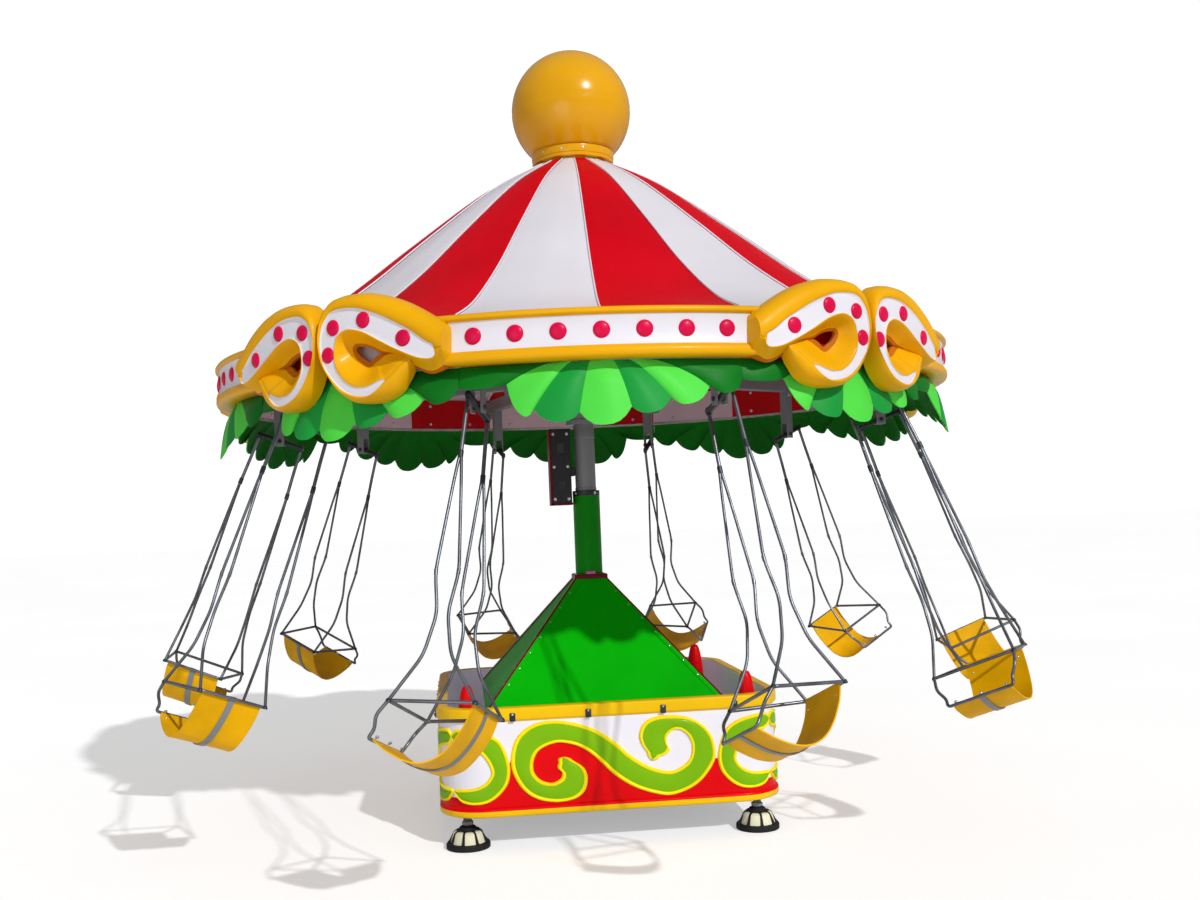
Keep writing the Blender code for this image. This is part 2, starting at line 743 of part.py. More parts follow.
def build_front_loop():
    """The bent rod from the ring's front corners, round under the seat's front edge."""
    bar_y, bar_z = front_bar()
    ahead, below = LOOP_SHOULDER
    side = [
        (RING_FRONT_HALF, RING_FRONT, -RING_DROP),
        (RING_FRONT_HALF - 0.004, RING_FRONT - ahead, -RING_DROP - below),
        (LOOP_HALF, bar_y + 0.0173, bar_z + 0.025),
        (LOOP_HALF, bar_y, bar_z),
    ]
    path = side + [(-x, y, z) for x, y, z in reversed(side)]
    return tube(path, RING_ROD, 5)


def build_strap():
    """The flat bar from the ring's rear, down behind the back and under the seat to the front loop."""
    line = seat_line()
    near = offset_line(line, SEAT_THICK / 2 + GAP)[1:]
    far = offset_line(line, SEAT_THICK / 2 + GAP + STRAP_THICK)[1:]
    bar_y, bar_z = front_bar()
    outline = [(RING_REAR - 0.003, -RING_DROP - 0.001), *near, (bar_y, bar_z - 0.0025)]
    outline += [*far[::-1], (RING_REAR + 0.002, -RING_DROP - 0.001)]
    return side_prism(outline, STRAP_HALF, "strap")


def build_chairs(steel, yellow, rotor):
    frame_mesh = build_chair_frame_mesh()
    seat_mesh = build_seat_mesh()
    for number in range(CHAIRS):
        angle = chair_angle(number)
        label = f"{number + 1:02d}"
        pivot = add_empty(
            f"chair_pivot_{label}",
            on_cylinder(angle, PIVOT_RADIUS, PIVOT_LEVEL),
            (0.0, -SWING, angle - math.pi / 2),
            rotor,
        )
        add_object(f"chair_frame_{label}", frame_mesh, steel, pivot, round_angle=50)
        add_object(f"chair_seat_{label}", seat_mesh, yellow, pivot, round_angle=50)


def main():
    clear_scene()
    yellow = make_material("yellow_fibreglass", (0.87, 0.43, 0.01), 0.35, 0.0)
    red = make_material("red_fibreglass", (0.75, 0.0, 0.02), 0.35, 0.0)
    maroon = make_material("maroon_trim", (0.18, 0.01, 0.02), 0.45, 0.0)
    green = make_material("green_fibreglass", (0.0, 0.36, 0.02), 0.35, 0.0)
    leaf = make_material("leaf_green", (0.06, 0.55, 0.06), 0.4, 0.0)
    mast_green = make_material("mast_green", (0.0, 0.15, 0.01), 0.4, 0.0)
    grey = make_material("grey_steel", (0.16, 0.17, 0.17), 0.4, 0.6)
    steel = make_material("bright_steel", (0.30, 0.31, 0.32), 0.3, 0.9)
    black = make_material("black_paint", (0.01, 0.01, 0.012), 0.5, 0.0)
    white = make_material("white_fibreglass", (0.8, 0.8, 0.8), 0.35, 0.0)
    sides = ["front", "right", "back", "left"]
    for k, side in enumerate(sides):
        build_tub_panel(f"tub_{side}", k * math.pi / 2, white)
        build_cover_panel(f"cover_{side}", k * math.pi / 2, green)
    build_tub_floor(grey)
    build_chassis(grey)
    build_feet(black)
    build_domes(red)
    build_cover_hips(maroon)
    build_mast(mast_green, grey)
    build_drive_box(black)
    rotor = add_empty("rotor_axis", (0, 0, 0), (0, 0, ROTOR_YAW))
    build_mast_head(grey, rotor)
    build_canopy_frame(grey, rotor)
    build_roof(red, rotor)
    build_roof_edge(red, rotor)
    build_finial(yellow, rotor)
    for number in range(1, MODULES + 1):
        build_crown_module(number, yellow, rotor)
        build_garland(number, leaf, rotor)
    build_chairs(steel, yellow, rotor)


main()
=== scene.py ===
"""Looks of the children's chair swing ride: each visible piece is built finer here, round the frame."""

import math

import bmesh
import bpy
from mathutils import Matrix, Vector, noise


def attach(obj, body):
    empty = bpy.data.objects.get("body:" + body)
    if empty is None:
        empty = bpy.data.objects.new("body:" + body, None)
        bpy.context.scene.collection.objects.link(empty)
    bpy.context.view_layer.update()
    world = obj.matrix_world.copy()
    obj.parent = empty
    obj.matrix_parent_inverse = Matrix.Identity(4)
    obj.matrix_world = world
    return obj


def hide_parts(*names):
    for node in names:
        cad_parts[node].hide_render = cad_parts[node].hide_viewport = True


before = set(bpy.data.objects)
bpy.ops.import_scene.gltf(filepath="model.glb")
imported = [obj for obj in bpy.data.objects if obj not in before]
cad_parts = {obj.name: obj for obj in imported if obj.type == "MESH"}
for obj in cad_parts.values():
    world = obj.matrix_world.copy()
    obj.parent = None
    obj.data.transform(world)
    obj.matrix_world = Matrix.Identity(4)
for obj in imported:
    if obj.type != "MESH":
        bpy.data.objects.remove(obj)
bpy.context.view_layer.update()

GAP = 0.0003

# Sizes shared with the part's source
TUB_HALF = 0.648
TUB_CORNER = 0.166
TUB_FLAT = TUB_HALF - TUB_CORNER
TUB_SIDE = TUB_FLAT + TUB_CORNER * math.pi / 4
FOOT_SPREAD = 0.556
COVER_HALF = 0.447
COVER_EAVE = 0.505
COVER_TOP = 0.964
COVER_TOP_HALF = 0.0645
MAST_RADIUS = 0.0575
MAST_TOP = 1.337
INNER_RADIUS = 0.045
INNER_TOP = 1.617
ROTOR_YAW = math.radians(-3.4)
ROOF_PROFILE = [(0.150, 2.720), (0.414, 2.575), (0.735, 2.335)]
ROOF_PROFILE += [(1.017, 2.115), (1.273, 1.948), (1.450, 1.873)]
EDGE_RADIUS = 1.428
MODULES = 5
GORES = 20
PIVOT_RADIUS = 1.280
PIVOT_LEVEL = 1.594
SWING = math.radians(21.5)
RING_DROP = 1.000
RING_REAR = (0.119, 0.132)
RING_FRONT = (0.148, -0.124)
RING_ROD = 0.0057
CHAIRS = 10

SIDES = ["front", "right", "back", "left"]
IDENTITY = Matrix()

# Shapes

class Shape:
    """Gathers points and faces, with a material number on each face."""

    def __init__(self):
        self.points = []
        self.faces = []
        self.slots = []

    def grid(self, rows, slot=0, wrap=False):
        """Quads between rows of points. The slot is a number, a list with one for each row, or a function."""
        start = len(self.points)
        width = len(rows[0])
        for row in rows:
            self.points.extend(tuple(point) for point in row)
        for i in range(len(rows) - 1):
            own = slot[i] if isinstance(slot, list) else slot
            for j in range(width if wrap else width - 1):
                k = (j + 1) % width
                low = start + i * width
                high = low + width
                self.faces.append((low + j, low + k, high + k, high + j))
                self.slots.append(own(i, j) if callable(own) else own)

    def cap(self, ring, slot=0):
        start = len(self.points)
        self.points.extend(tuple(point) for point in ring)
        self.faces.append(tuple(range(start, start + len(ring))))
        self.slots.append(slot)

    def loft(self, rings, slot=0):
        """A closed body through rings of points."""
        self.grid(rings, slot, wrap=True)
        self.cap(rings[0], slot)
        self.cap(rings[-1], slot)

    def sheet(self, front, back, slots):
        """A thin sheet between two grids, with the slots of its front, back, last edge and other edges."""
        face, rear, end, edge = slots
        self.grid(front, face)
        self.grid(back, rear)
        self.grid([front[-1], back[-1]], end)
        self.grid([front[0], back[0]], edge)
        for j in (0, -1):
            self.grid([[row[j] for row in front], [row[j] for row in back]], edge)

    def turned(self, profile, segments, slot=0, matrix=IDENTITY, phase=0.0):
        """Spins (radius, level) points round Z."""
        turns = [phase + 2 * math.pi * k / segments for k in range(segments)]
        rows = []
        for r, z in profile:
            rows.append([matrix @ Vector((r * math.cos(t), r * math.sin(t), z)) for t in turns])
        self.grid(rows, slot, wrap=True)

    def tube(self, path, radius, sides=10, slot=0):
        """A round rod along a path."""
        path = [Vector(point) for point in path]
        turns = [2 * math.pi * k / sides for k in range(sides)]
        across = (path[1] - path[0]).orthogonal().normalized()
        rings = []
        for i, centre in enumerate(path):
            along = (path[min(i + 1, len(path) - 1)] - path[max(i - 1, 0)]).normalized()
            across = (across - along * across.dot(along)).normalized()
            other = along.cross(across)
            rings.append([centre + (across * math.cos(t) + other * math.sin(t)) * radius for t in turns])
        self.loft(rings, slot)

    def box(self, low, high, slot, edge, matrix=IDENTITY):
        """A box between two corners, with its upright edges and its ends chamfered."""
        edge = min(edge, *((h - l) * 0.45 for l, h in zip(low, high)))
        rings = []
        for z, inset in ((low[2], edge), (low[2] + edge, 0.0), (high[2] - edge, 0.0), (high[2], edge)):
            x0, y0, x1, y1 = low[0] + inset, low[1] + inset, high[0] - inset, high[1] - inset
            outline = [(x0 + edge, y0), (x1 - edge, y0), (x1, y0 + edge), (x1, y1 - edge)]
            outline += [(x1 - edge, y1), (x0 + edge, y1), (x0, y1 - edge), (x0, y0 + edge)]
            rings.append([matrix @ Vector((x, y, z)) for x, y in outline])
        self.loft(rings, slot)

    def bolt(self, matrix, radius, slot=0, height=0.6):
        """A washer and a hexagon head on the local XY plane."""
        thick, low, tall = radius * 0.22, radius * 0.2, radius * (height + 0.22)
        self.turned([(0, 0), (radius * 1.5, 0), (radius * 1.5, thick), (0, thick)], 14, slot, matrix)
        head = [(0, low), (radius, low), (radius, tall * 0.85), (radius * 0.85, tall), (0, tall)]
        self.turned(head, 6, slot, matrix)

    def dome(self, matrix, radius, height, slot, segments, steps):
        """A round button that bulges from the local XY plane."""
        profile = [(radius, -0.003)]
        for k in range(steps + 1):
            t = math.pi / 2 * k / steps
            profile.append((radius * math.cos(t), height * math.sin(t)))
        self.turned(profile, segments, slot, matrix)

    def add(self, other, matrix, slots=None):
        """Adds a copy of another shape, moved."""
        start = len(self.points)
        self.points.extend(tuple(matrix @ Vector(point)) for point in other.points)
        self.faces.extend(tuple(start + index for index in face) for face in other.faces)
        self.slots.extend(slots[s] if slots else s for s in other.slots)


def mesh_of(shape, name, materials, angle=35.0):
    mesh = bpy.data.meshes.new(name)
    mesh.from_pydata(shape.points, [], shape.faces)
    mesh.polygons.foreach_set("material_index", shape.slots)
    for material in materials:
        mesh.materials.append(material)
    bm = bmesh.new()
    bm.from_mesh(mesh)
    bmesh.ops.remove_doubles(bm, verts=bm.verts, dist=1e-5)
    bmesh.ops.dissolve_degenerate(bm, edges=bm.edges, dist=1e-6)
    bmesh.ops.recalc_face_normals(bm, faces=bm.faces)
    bm.to_mesh(mesh)
    bm.free()
    mesh.shade_smooth()
    mesh.set_sharp_from_angle(angle=math.radians(angle))
    return mesh


def linked(name, data):
    """A new object in the scene."""
    obj = bpy.data.objects.new(name, data)
    bpy.context.scene.collection.objects.link(obj)
    return obj


def put(mesh, name, body, node, matrix=IDENTITY):
    """Hands a moved copy of the mesh to its body, and lets it stand for the solid that it covers."""
    own = mesh.copy()
    own.name = name
    own.transform(matrix)
    obj = linked(name, own)
    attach(obj, body)
    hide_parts(node)


def turn_z(angle):
    return Matrix.Rotation(angle, 4, "Z")


def shifted(x, y, z):
    return Matrix.Translation((x, y, z))


def facing(point, outward):
    """A frame at a point whose Z looks outward, with its Y as near to upright as can be."""
    z = Vector(outward).normalized()
    up = Vector((0.0, 0.0, 1.0))
    y = up - z * up.dot(z)
    y = y.normalized() if y.length > 1e-6 else z.orthogonal().normalized()
    return Matrix.Translation(Vector(point)) @ Matrix((y.cross(z), y, z)).transposed().to_4x4()


def facing_round(count, radius, level, phase=0.0, sign=1):
    """Frames round an upright cylinder that look outward, or inward where the sign is -1."""
    for k in range(count):
        t = 2 * math.pi * k / count + phase
        out = Vector((math.cos(t), math.sin(t), 0.0))
        yield facing(out * radius + Vector((0.0, 0.0, level)), out * sign)


def mix(a, b, t):
    return tuple(p + (q - p) * t for p, q in zip(a, b))


def between(a, b, c, d, t):
    """A smooth value from b at t = 0 to c at t = 1, which a and d lie beside."""
    return 0.5 * (2 * b + (c - a) * t + (2 * a - 5 * b + 4 * c - d) * t * t + (3 * b - a - 3 * c + d) * t**3)


def smoothed(points, count):
    """A smooth curve through points, with a number of steps between each two."""
    out = []
    last = len(points) - 1
    for i in range(last):
        near = (points[max(i - 1, 0)], points[i], points[i + 1], points[min(i + 2, last)])
        for k in range(count):
            out.append(tuple(between(*values, k / count) for values in zip(*near)))
    out.append(tuple(points[-1]))
    return out


def value_at(points, s):
    """The straight-line value at s of (s, value) points."""
    for (s0, v0), (s1, v1) in zip(points, points[1:]):
        if s <= s1:
            return v0 + (v1 - v0) * (s - s0) / (s1 - s0)
    return points[-1][1]


def polar(angle, radius, level):
    """A point at an angle from -Y towards +X, in radians."""
    return Vector((radius * math.sin(angle), -radius * math.cos(angle), level))


# Materials

def srgb(screen):
    """Linear colour from 0 to 255 screen values."""
    shares = [value / 255 for value in screen]
    return tuple(c / 12.92 if c <= 0.04045 else ((c + 0.055) / 1.055) ** 2.4 for c in shares)


def paint(
    name, screen, dark=0.85, rough=0.36, coat=0.15, scale=2.2, bump=0.12, metal=0.0, shine=0.4, painted_glow=0.0
):
    """Painted or moulded surface: two close tones, a fine roughness change and a slight waviness.

    Its emission strength is painted light: it lightens a surface that lies in shade.
    """
    colour = srgb(screen)
    material = bpy.data.materials.new(name)
    material.use_nodes = True
    nodes, links = material.node_tree.nodes, material.node_tree.links
    shader = nodes["Principled BSDF"]
    place = nodes.new("ShaderNodeTexCoord")
    own = nodes.new("ShaderNodeObjectInfo")
    broad = nodes.new("ShaderNodeTexNoise")
    broad.noise_dimensions = "4D"
    broad.inputs["Scale"].default_value = scale
    broad.inputs["Detail"].default_value = 4.0
    links.new(place.outputs["Object"], broad.inputs["Vector"])
    links.new(own.outputs["Random"], broad.inputs["W"])
    tones = nodes.new("ShaderNodeValToRGB")
    tones.color_ramp.elements[0].position = 0.35
    tones.color_ramp.elements[0].color = (*(c * dark for c in colour), 1.0)
    tones.color_ramp.elements[1].position = 0.62
    tones.color_ramp.elements[1].color = (*colour, 1.0)
    links.new(broad.outputs["Fac"], tones.inputs["Fac"])
    links.new(tones.outputs["Color"], shader.inputs["Base Color"])
    fine = nodes.new("ShaderNodeTexNoise")
    fine.inputs["Scale"].default_value = 60.0
    fine.inputs["Detail"].default_value = 3.0
    links.new(place.outputs["Object"], fine.inputs["Vector"])
    spread = nodes.new("ShaderNodeMapRange")
    spread.inputs["To Min"].default_value = max(rough - 0.07, 0.03)
    spread.inputs["To Max"].default_value = rough + 0.09
    links.new(fine.outputs["Fac"], spread.inputs["Value"])
    links.new(spread.outputs["Result"], shader.inputs["Roughness"])
    lift = nodes.new("ShaderNodeBump")
    lift.inputs["Strength"].default_value = bump
    lift.inputs["Distance"].default_value = 0.002
    links.new(broad.outputs["Fac"], lift.inputs["Height"])
    links.new(lift.outputs["Normal"], shader.inputs["Normal"])
    shader.inputs["Metallic"].default_value = metal
    shader.inputs["Specular IOR Level"].default_value = shine
    shader.inputs["Coat Weight"].default_value = coat
    shader.inputs["Coat Roughness"].default_value = 0.12
    # Emission in the surface's own colour is painted light.
    links.new(tones.outputs["Color"], shader.inputs["Emission Color"])
    shader.inputs["Emission Strength"].default_value = painted_glow
    return material


YELLOW = paint("crown_yellow", (242, 176, 4), coat=0.03, shine=0.12)
BALL = paint("ball_yellow", (232, 168, 6), rough=0.22, coat=0.15, shine=0.25)
RIM = paint("rim_yellow", (248, 198, 4), coat=0.05, shine=0.15)
OUTLINE = paint("outline_yellow", (255, 232, 10), 0.92, coat=0.05, shine=0.15)
SEAT = paint("seat_yellow", (244, 182, 0), 0.76, rough=0.46, coat=0.0, scale=6.0, shine=0.1)
RED = paint("roof_red", (216, 0, 24), 0.86, rough=0.5, coat=0.0, shine=0.03)
WHITE = paint("roof_white", (230, 227, 235), 0.94, coat=0.05, shine=0.2)
TUB_RED = paint("tub_red", (224, 0, 10), 0.86, coat=0.03, shine=0.1)
TUB_WHITE = paint("tub_white", (236, 234, 244), 0.95, coat=0.1, shine=0.25)
CRIMSON = paint("dot_crimson", (220, 0, 70), coat=0.05, shine=0.15)
LEAF_LIGHT = paint("leaf_light", (84, 222, 74), 0.86, rough=0.46, coat=0.0, shine=0.12)
LEAF_MID = paint("leaf_mid", (26, 156, 62), 0.84, rough=0.46, coat=0.0, shine=0.12)
LEAF_DARK = paint("leaf_dark", (8, 118, 28), 0.75, rough=0.46, coat=0.0, shine=0.12)
LEAF_BACK = paint("leaf_back", (2, 116, 14), 0.7, rough=0.6, coat=0.0, shine=0.15)
SCROLL = paint("scroll_green", (124, 184, 0), 0.88, coat=0.05, shine=0.15)
PYRAMID = paint("pyramid_green", (0, 184, 4), 0.8, rough=0.42, coat=0.0, shine=0.08)
MAST = paint("mast_green", (0, 136, 8), 0.85, coat=0.0, shine=0.1)
MAROON = paint("maroon", (104, 4, 26), 0.75, coat=0.05, shine=0.15)
# Pink on the collar's top and front: painted highlight on maroon.
PINK_HIGHLIGHT = paint("collar_pink_painted_highlight", (190, 104, 158), 0.8)
# Darker, greyer copies of the roof's red and white for its underside and upright band: painted shade.
UNDER_RED_SHADED = paint("under_red_painted_shade", (206, 0, 14), 0.8, rough=0.5, coat=0.0, shine=0.15)
UNDER_WHITE_SHADED = paint("under_white_painted_shade", (226, 204, 216), 0.85, rough=0.55, coat=0.0, shine=0.15)
# The tub's inner walls get a faint emission: painted light that lightens them in the canopy's shadow.
INNER = paint("inner_lilac_painted_light", (236, 226, 246), 0.86, rough=0.5, coat=0.0, shine=0.2, painted_glow=0.13)
STEEL = paint("wire_steel", (122, 126, 134), 0.5, rough=0.34, coat=0.0, metal=0.7, scale=14.0)
DARK_STEEL = paint("dark_steel", (62, 66, 72), 0.6, rough=0.4, coat=0.0, metal=0.5, scale=14.0)
GREY = paint("grey_paint", (128, 132, 136), 0.8, rough=0.42)
BLACK = paint("black_paint", (24, 24, 28), 0.6, rough=0.42)
RUBBER = paint("black_rubber", (20, 20, 20), 0.6, rough=0.7, coat=0.0)
CREAM = paint("cream_plastic", (240, 236, 205), 0.85, rough=0.5)
BRIGHT = paint("bright_bolt", (225, 228, 232), 0.8, rough=0.22, coat=0.0, metal=0.7, scale=20.0)
# Darker orange for the deep end of the scroll's funnel and the hole's wall: painted shade.
FUNNEL_PAINTED_SHADE = paint("funnel_painted_shade", (204, 112, 2), 0.7, rough=0.6, coat=0.0, shine=0.15)


# Camera and light

CAMERA_PLACE = (-0.5436, -5.1715, 1.22)
CAMERA_TURN = math.radians(-6.0)
CAMERA_ROLL = math.radians(-2.29)
CAMERA_LENS = 36.57
CAMERA_SHIFT = (0.0108, 0.0567)
SUN_AZIMUTH = math.radians(28.0)
SUN_ELEVATION = math.radians(34.0)
SUN_SIZE = math.radians(1.5)
SUN_STRENGTH = 2.3
FILL_PLACE = Vector((-3.0, -7.0, 1.8))
FILL_TARGET = Vector((0.0, 0.0, 1.1))
FILL_POWER = 60.0
SKY_LIGHT = 0.30
SKY_SEEN = 1.1
FLOOR_GLOW = 0.40
FLOOR_HALF = 90.0


def add_camera():
    data = bpy.data.cameras.new("camera")
    data.lens = CAMERA_LENS
    data.sensor_width = 36.0
    data.shift_x, data.shift_y = CAMERA_SHIFT
    camera = linked("camera", data)
    upright = Matrix.Rotation(math.radians(90.0), 4, "X")
    camera.matrix_world = shifted(*CAMERA_PLACE) @ turn_z(CAMERA_TURN) @ upright @ turn_z(CAMERA_ROLL)
    bpy.context.scene.camera = camera
    bpy.context.scene.view_settings.view_transform = "Standard"


def add_light(name, kind, power, source):
    """A light that shines from the direction of its source."""
    data = bpy.data.lights.new(name, kind)
    data.energy = power
    light = linked(name, data)
    light.rotation_euler = source.to_track_quat("Z", "Y").to_euler()
    return light


def add_lights():
    """A sun from the front right, and a soft disk from the front left."""
    source = polar(SUN_AZIMUTH, math.cos(SUN_ELEVATION), math.sin(SUN_ELEVATION))
    sun = add_light("key_sun", "SUN", SUN_STRENGTH, source)
    sun.data.angle = SUN_SIZE
    fill = add_light("front_fill", "AREA", FILL_POWER, FILL_PLACE - FILL_TARGET)
    fill.data.shape = "DISK"
    fill.data.size = 4.0
    fill.location = FILL_PLACE


def seen_only(tree, low, high, socket):
    """Gives a strength its high value where the camera looks straight at it, and its low one elsewhere."""
    seen = tree.nodes.new("ShaderNodeLightPath")
    bright = tree.nodes.new("ShaderNodeMapRange")
    bright.inputs["To Min"].default_value = low
    bright.inputs["To Max"].default_value = high
    tree.links.new(seen.outputs["Is Camera Ray"], bright.inputs["Value"])
    tree.links.new(bright.outputs["Result"], socket)


def add_room():
    """A pale floor, under an even white sky that is brighter where the camera sees it."""
    shape = Shape()
    shape.grid([[(x, y, 0.0) for y in (-FLOOR_HALF, FLOOR_HALF)] for x in (-FLOOR_HALF, FLOOR_HALF)])
    floor_paint = paint("floor_paint", (246, 246, 246), 0.98, rough=0.8, coat=0.0, scale=0.5, bump=0.02)
    shader = floor_paint.node_tree.nodes["Principled BSDF"]
    seen_only(floor_paint.node_tree, 0.0, FLOOR_GLOW, shader.inputs["Emission Strength"])
    linked("studio_floor", mesh_of(shape, "studio_floor", [floor_paint]))
    world = bpy.data.worlds.new("studio_sky")
    bpy.context.scene.world = world
    world.use_nodes = True
    background = world.node_tree.nodes["Background"]
    background.inputs["Color"].default_value = (1.0, 1.0, 1.0, 1.0)
    seen_only(world.node_tree, SKY_LIGHT, SKY_SEEN, background.inputs["Strength"])


# Tub

SPLIT = [(-0.613, 0.200), (-0.560, 0.200), (-0.500, 0.210), (-0.440, 0.235), (-0.400, 0.300)]
SPLIT += [(-0.390, 0.343), (-0.319, 0.430), (-0.202, 0.444), (-0.069, 0.419), (0.012, 0.348)]
SPLIT += [(0.093, 0.272), (0.176, 0.216), (0.260, 0.215), (0.330, 0.257), (0.392, 0.305)]
SPLIT += [(0.440, 0.235), (0.500, 0.210), (0.560, 0.200), (0.613, 0.200)]

S_BAND = [
    (-0.157, 0.326, -0.211, 0.322), (-0.116, 0.293, -0.216, 0.299), (-0.104, 0.251, -0.201, 0.281),
    (-0.116, 0.201, -0.205, 0.257), (-0.155, 0.170, -0.231, 0.242), (-0.222, 0.161, -0.252, 0.243),
    (-0.288, 0.175, -0.276, 0.253), (-0.336, 0.207, -0.294, 0.271), (-0.371, 0.259, -0.305, 0.296),
    (-0.388, 0.318, -0.303, 0.333), (-0.383, 0.384, -0.288, 0.366), (-0.360, 0.436, -0.263, 0.385),
    (-0.317, 0.473, -0.233, 0.396), (-0.267, 0.489, -0.204, 0.400), (-0.209, 0.490, -0.171, 0.394),
    (-0.151, 0.478, -0.138, 0.382), (-0.101, 0.461, -0.109, 0.365), (-0.052, 0.435, -0.081, 0.341),
    (0.005, 0.390, -0.049, 0.307), (0.054, 0.339, -0.013, 0.266), (0.099, 0.303, 0.032, 0.227),
    (0.144, 0.277, 0.082, 0.196), (0.194, 0.261, 0.140, 0.173), (0.228, 0.263, 0.199, 0.160),
    (0.259, 0.280, 0.259, 0.173), (0.281, 0.302, 0.311, 0.201), (0.292, 0.335, 0.351, 0.243),
    (0.291, 0.373, 0.382, 0.300), (0.277, 0.403, 0.379, 0.368), (0.260, 0.419, 0.358, 0.415),
    (0.244, 0.426, 0.321, 0.453), (0.226, 0.425, 0.271, 0.478), (0.213, 0.414, 0.220, 0.486),
    (0.202, 0.399, 0.169, 0.485), (0.198, 0.381, 0.127, 0.471), (0.203, 0.361, 0.104, 0.447),
    (0.210, 0.344, 0.094, 0.410), (0.197, 0.328, 0.102, 0.376), (0.171, 0.321, 0.121, 0.345),
]
C_BAND = [
    (0.582, 0.472, 0.584, 0.402), (0.520, 0.466, 0.533, 0.391), (0.470, 0.451, 0.498, 0.372),
    (0.430, 0.424, 0.478, 0.344), (0.405, 0.375, 0.466, 0.316), (0.391, 0.312, 0.463, 0.291),
    (0.399, 0.253, 0.474, 0.269), (0.428, 0.209, 0.494, 0.250), (0.470, 0.178, 0.524, 0.237),
    (0.522, 0.168, 0.558, 0.232), (0.572, 0.176, 0.580, 0.232), (0.598, 0.199, 0.594, 0.230),
]


# Share of the ribbon's outline from its edge, and share of its rise
BAND_OUTLINE = [(0.12, 0.55), (0.35, 0.95), (0.6, 1.0), (0.88, 0.8), (1.0, 0.52)]
BAND_FACE = [(0.3, 0.8), (0.5, 0.88), (0.7, 0.8)]
BAND_RISE = 0.0095
BAND_LEVEL = 0.320
BAND_HEIGHT = 0.925


def tub_point(s, z, proud):
    """A point on the tub's front at a distance along it from the middle."""
    if abs(s) <= TUB_FLAT:
        return Vector((s, -TUB_HALF - proud, z))
    angle = (abs(s) - TUB_FLAT) / TUB_CORNER
    radius = TUB_CORNER + proud
    x = TUB_FLAT + radius * math.sin(angle)
    return Vector((math.copysign(x, s), -TUB_FLAT - radius * math.cos(angle), z))


def raised_band(shape, line, lip, side=1):
    """A raised ribbon between two lines of points, with a rolled outline and rounded ends."""
    pairs = [((a, b), (c, d)) for a, b, c, d in smoothed(line, 4)]
    rows = []
    for outer, inner in round_end(pairs[0], pairs[1])[::-1] + pairs + round_end(pairs[-1], pairs[-2]):
        width = math.dist(outer, inner)
        edge = min(lip, width * 0.48)
        roll = [(0.0, -0.001)] + [(edge * d, BAND_RISE * h) for d, h in BAND_OUTLINE]
        face = [(max(min(width * d, width - edge), edge), BAND_RISE * h) for d, h in BAND_FACE]
        row = []
        for d, h in roll + face + [(width - d, h) for d, h in reversed(roll)]:
            s, z = mix(outer, inner, d / max(width, 1e-6))
            row.append(tub_point(side * s, BAND_LEVEL + (z - 0.325) * BAND_HEIGHT, h))
        rows.append(row)
    shape.grid(rows, lambda i, j: 5 if 5 <= j <= 8 else 4)


def round_end(last, before):
    """Narrowing sections that round off a ribbon beyond its last one."""
    middle = mix(*last, 0.5)
    half = math.dist(*last) / 2
    away = [m - n for m, n in zip(middle, mix(*before, 0.5))]
    length = math.hypot(*away) or 1.0
    out = []
    for k in range(1, 6):
        t = math.radians(17.5 * k)
        centre = [m + v / length * half * 0.8 * math.sin(t) for m, v in zip(middle, away)]
        ends = [[c + p - m for c, p, m in zip(centre, end, middle)] for end in last]
        out.append(tuple(mix(centre, end, math.cos(t)) for end in ends))
    return out


def build_tub():
    count = 74
    stations = [TUB_SIDE * (2 * k / count - 1) for k in range(count + 1)]
    profile = [(-0.008, 0.128), (-0.008, 0.512), (-0.012, 0.517), (-0.027, 0.518), (-0.030, 0.521)]
    profile += [(-0.030, 0.527), (-0.027, 0.530), (0.004, 0.530), (0.009, 0.5285), (0.0116, 0.525)]
    profile += [(0.012, 0.520), (0.012, 0.490), (0.010, 0.485), (0.0055, 0.482), (0.0, 0.478), None]
    profile += [(0.0, 0.163), (0.005, 0.160), (0.0085, 0.156), (0.010, 0.150), (0.010, 0.134)]
    profile += [(0.007, 0.1285), (0.001, 0.126), (-0.006, 0.126), (-0.008, 0.128)]
    slots = [3] * 5 + [2] * 9 + [1] + [0] * 4 + [2] * 5
    shape = Shape()
    rows = []
    for item in profile:
        row = []
        for s in stations:
            depth, level = item or (0.0, value_at(SPLIT, s))
            row.append(tub_point(s, level, depth))
        rows.append(row)
    shape.grid(rows, slots)
    raised_band(shape, S_BAND, 0.016)
    raised_band(shape, C_BAND, 0.014)
    raised_band(shape, C_BAND, 0.014, -1)
    for s in (-0.376, -0.094, 0.188, 0.461):
        add_rim_clip(shape, s)
    materials = [TUB_RED, TUB_WHITE, RIM, INNER, OUTLINE, SCROLL, DARK_STEEL, BRIGHT]
    mesh = mesh_of(shape, "tub_side", materials, 40)
    for k, side in enumerate(SIDES):
        put(mesh, f"tub_{side}_skin", "base", f"tub_{side}", turn_z(k * math.pi / 2))


def add_rim_clip(shape, s):
    """A small saddle clip and its bolt at the lower edge of the rim."""
    at = tub_point(s, 0.495, 0.0095)
    out = (tub_point(s, 0.495, 1.0) - tub_point(s, 0.495, 0.0)).normalized()
    seat = facing(at, out)
    shape.box((-0.011, -0.016, 0.0), (0.011, 0.016, 0.006), 6, 0.003, seat)
    shape.bolt(seat @ shifted(0, -0.004, 0.006), 0.0052, 6)
    shape.dome(seat @ shifted(0, 0.010, 0.006), 0.0042, 0.003, 7, 12, 3)


